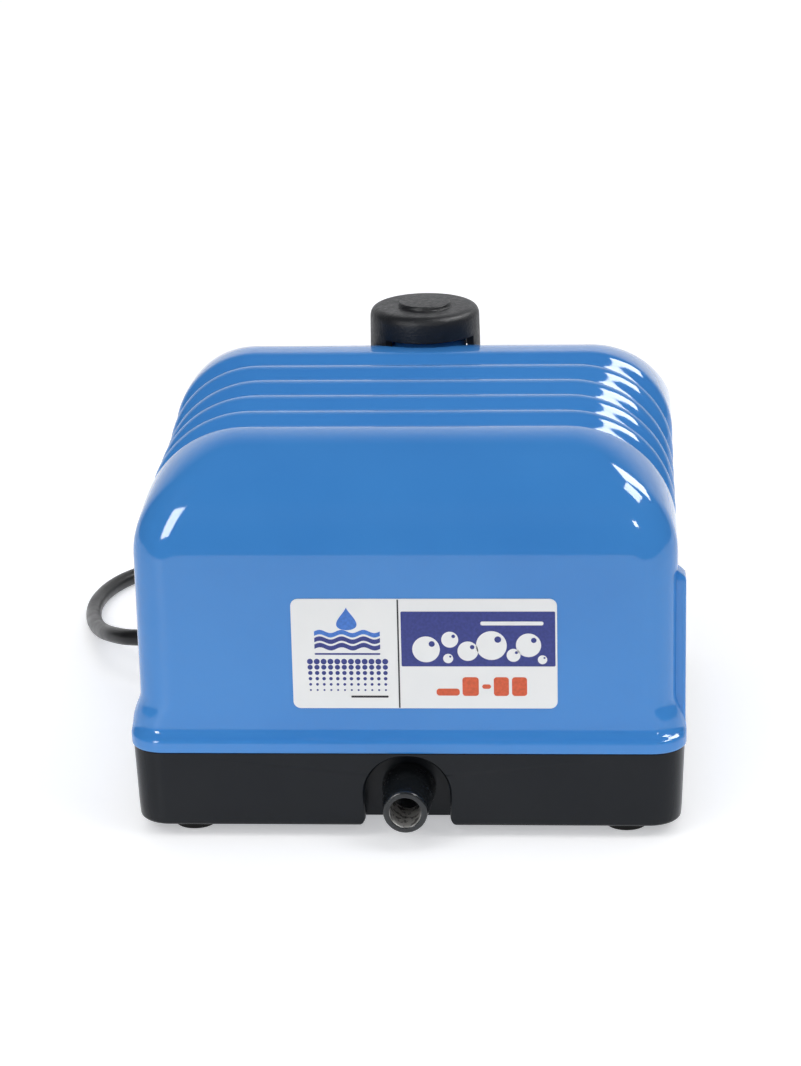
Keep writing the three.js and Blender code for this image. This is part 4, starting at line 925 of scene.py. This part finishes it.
# ---- Label -------------------------------------------------------------------------------------
def make_label():
    """A white film with a generic print: bubbles in a band, red bars, a drop over waves and rows of dots."""
    white, navy, red, black, sky = range(5)
    shapes = []

    def patch(points, slot, lift):
        shapes.append((points, slot, lift))

    def bar(x, z, width, height, slot, corner=0.3, lift=0.05):
        points = [(px + x, pz + z) for px, pz in outline(width / 2, height / 2, min(corner, height / 2), 6)]
        patch(points, slot, lift)

    def disc(x, z, radius, slot, lift=0.05, sides=20):
        patch([(x + radius * math.cos(a), z + radius * math.sin(a))
               for a in (2 * math.pi * s / sides for s in range(sides))], slot, lift)

    patch(outline(LABEL_HALF_X, LABEL_HALF_Z, 2.4, 10), white, 0.0)
    divider = -8.2
    bar(divider, 0, 0.5, 2 * LABEL_HALF_Z - 0.3, black, 0.05)
    band_left, band_right = divider + 0.9, LABEL_HALF_X - 0.6
    band_low, band_high = -4.2, 14.4
    bar((band_left + band_right) / 2, (band_low + band_high) / 2,
        band_right - band_left, band_high - band_low, navy, 0.4)
    # Large bubbles, each with a small glint, fill the band below a thin line.
    bubbles = [(0.6, 1.6, 4.4), (8.2, 4.9, 2.7), (7.6, -1.5, 1.6), (13.9, 1.0, 3.3),
               (21.4, 2.9, 4.9), (28.4, -0.4, 2.2), (33.2, 3.0, 4.0), (37.6, -1.9, 1.5)]
    for x, z, radius in bubbles:
        disc(x, z, radius, white, 0.08, 36)
        disc(x + radius * 0.42, z + radius * 0.42, radius * 0.22, navy, 0.11, 20)
    bar(28.0, 10.4, 20, 1.3, white, 0.6, 0.08)
    # Red bars, one of them a dash, below the band.
    for x, z, width, height in ((7.4, -13.0, 7.4, 2.4), (14.6, -11.1, 5.2, 6.4), (19.7, -11.1, 2.8, 1.5),
                                (24.4, -11.1, 4.8, 6.4), (30.2, -11.1, 4.8, 6.4)):
        bar(x, z, width, height, red, 1.0)
    # A drop over three bold waves at the left, rows of shrinking dots below, and a thin line.
    drop = [(-24.6 + 3.4 * math.sin(a) * (1 - math.cos(a)) / 1.35, 12.0 + 3.9 * math.cos(a))
            for a in (2 * math.pi * s / 40 for s in range(40))]
    patch(drop, sky, 0.05)
    for level, slot in ((6.9, sky), (4.7, navy), (2.5, navy)):
        crest = [(-35.0 + 21 * s / 36, level + 0.55 * math.sin(s / 36 * 6 * math.pi)) for s in range(37)]
        patch([(x, z + 0.75) for x, z in reversed(crest)] + [(x, z - 0.75) for x, z in crest], slot, 0.05)
    bar(-24.5, 0.0, 21, 0.6, navy, 0.3)
    for row in range(6):
        for column in range(12):
            disc(-36.6 + 2.19 * column, -2.6 - 1.95 * row, 0.96 - 0.125 * row, navy, 0.05, 14)
    bar(-17.7, -14.6, 12, 0.7, black, 0.3)

    film, ink = 0.34, 0.03
    points, faces, slots = [], [], []
    for shape, slot, lift in shapes:
        thickness = film if lift == 0 else ink
        count = len(shape)
        start = len(points)
        back = 0.0 if lift == 0 else 0.3 + lift
        for out in (back, back + thickness):
            points += [(LABEL_X + x, LABEL_FACE + 0.3 - out - 0.02, LABEL_Z + z) for x, z in shape]
        for index in range(count):
            near = (index + 1) % count
            faces.append((start + index, start + near, start + count + near, start + count + index))
        faces.append(tuple(range(start + count, start + 2 * count)))
        faces.append(tuple(reversed(range(start, start + count))))
        slots += [slot] * (count + 2)
    label = build("label_print", points, faces, "sticker", "ink_navy", "ink_red", "ink_black", "ink_sky",
                  slots=slots)
    clean(label, 30)
    return show(label, "housing", "front_label", slot="sticker")


make_label()


# ---- Materials of the CAD nodes that stay --------------------------------------------------------
def dress_nodes():
    slots = {part["node"]: part["material_slot"] for part in frame["record"]["subparts"]}
    for node, piece in frame["nodes"].items():
        piece.data.materials.clear()
        piece.data.materials.append(FINISH[slots[node]])
        piece.data.shade_smooth()
        piece.data.set_sharp_from_angle(angle=math.radians(32))


dress_nodes()


# ---- Floor and light ---------------------------------------------------------------------------
def make_stage():
    """A pale floor that ends a little in front and rises behind into a backdrop; painted shade darkens it
    upward and a painted glow fades out above.
    """
    white = Finish("stage_white", (0.86, 0.86, 0.86), 0.55)
    white.vary(white.noise(0.6, 2), (0.88, 0.88, 0.88))
    # Painted shade: from 1 m to 3.4 m up the backdrop, the colour fades to near black.
    white.vary(white.level(), (0.02, 0.02, 0.02), 1.0, 3.4)
    # Painted glow: the floor and the low backdrop give off a faint light of their own, fading out from 1 m to
    # 3.4 m up.
    white.glow((0.96, 0.97, 1.0), white.level(), 1.0, 3.4, 0.44, 0.0)
    FINISH["stage_white"] = white.material
    half_width, bend, rear, height = 2600, 600, 1200, 3600
    profile = [(FLOOR_FRONT, 0), (rear, 0)]
    profile += [(rear + bend * math.sin(a), bend - bend * math.cos(a))
                for a in (math.pi / 24 * step for step in range(1, 13))]
    profile += [(rear + bend, height)]
    points = [(x, y, z) for y, z in profile for x in (-half_width, half_width)]
    faces = [(2 * i, 2 * i + 1, 2 * i + 3, 2 * i + 2) for i in range(len(profile) - 1)]
    floor = build("studio_sweep", points, faces, "stage_white")
    floor.data.shade_smooth()


def make_light(name, toward, distance, size, power, mirrored=True, lighting=True):
    """A rectangular lamp in a direction from the pump, which mirrorings or the lighting can leave out."""
    light = bpy.data.lights.new(name, "AREA")
    light.shape = "RECTANGLE"
    light.size, light.size_y = size
    light.energy = power
    lamp = bpy.data.objects.new(name, light)
    direction = Vector(toward).normalized()
    lamp.location = PUMP_MIDDLE + distance * direction
    lamp.rotation_mode = "QUATERNION"
    lamp.rotation_quaternion = (-direction).to_track_quat("-Z", "Y")
    lamp.visible_glossy = mirrored
    lamp.visible_diffuse = lighting
    bpy.context.scene.collection.objects.link(lamp)


def light_scene():
    world = bpy.data.worlds.new("studio")
    world.use_nodes = True
    world.node_tree.nodes["Background"].inputs[0].default_value = (0.75, 0.77, 0.8, 1)
    world.node_tree.nodes["Background"].inputs[1].default_value = 0.10
    bpy.context.scene.world = world
    # Softboxes that show in the paint.
    make_light("softbox_left", (-0.46, -0.79, 0.41), 1.5, (0.36, 0.78), 15, lighting=False)
    make_light("softbox_right", (0.56, -0.18, 0.80), 1.3, (0.42, 0.34), 8, lighting=False)
    make_light("softbox_rear_right", (0.62, 0.25, 0.75), 1.3, (0.40, 0.6), 13, lighting=False)
    make_light("lamp_right", (0.356, -0.843, 0.403), 1.5, (0.13, 0.16), 1.6, lighting=False)
    # Soft light from all round.
    make_light("left_fill", (-0.55, -0.45, 0.75), 2.0, (1.2, 1.0), 10, mirrored=False)
    make_light("right_fill", (0.65, -0.25, 0.68), 1.9, (1.2, 1.0), 9, mirrored=False)
    make_light("front_fill", (0, -2.2, 1.23), 2.5, (2.0, 1.0), 16, mirrored=False)
    make_light("top_fill", (0, 0.1, 2.2), 2.2, (2.0, 1.6), 13, mirrored=False)
    bpy.context.scene.view_settings.view_transform = "Standard"


make_stage()
light_scene()
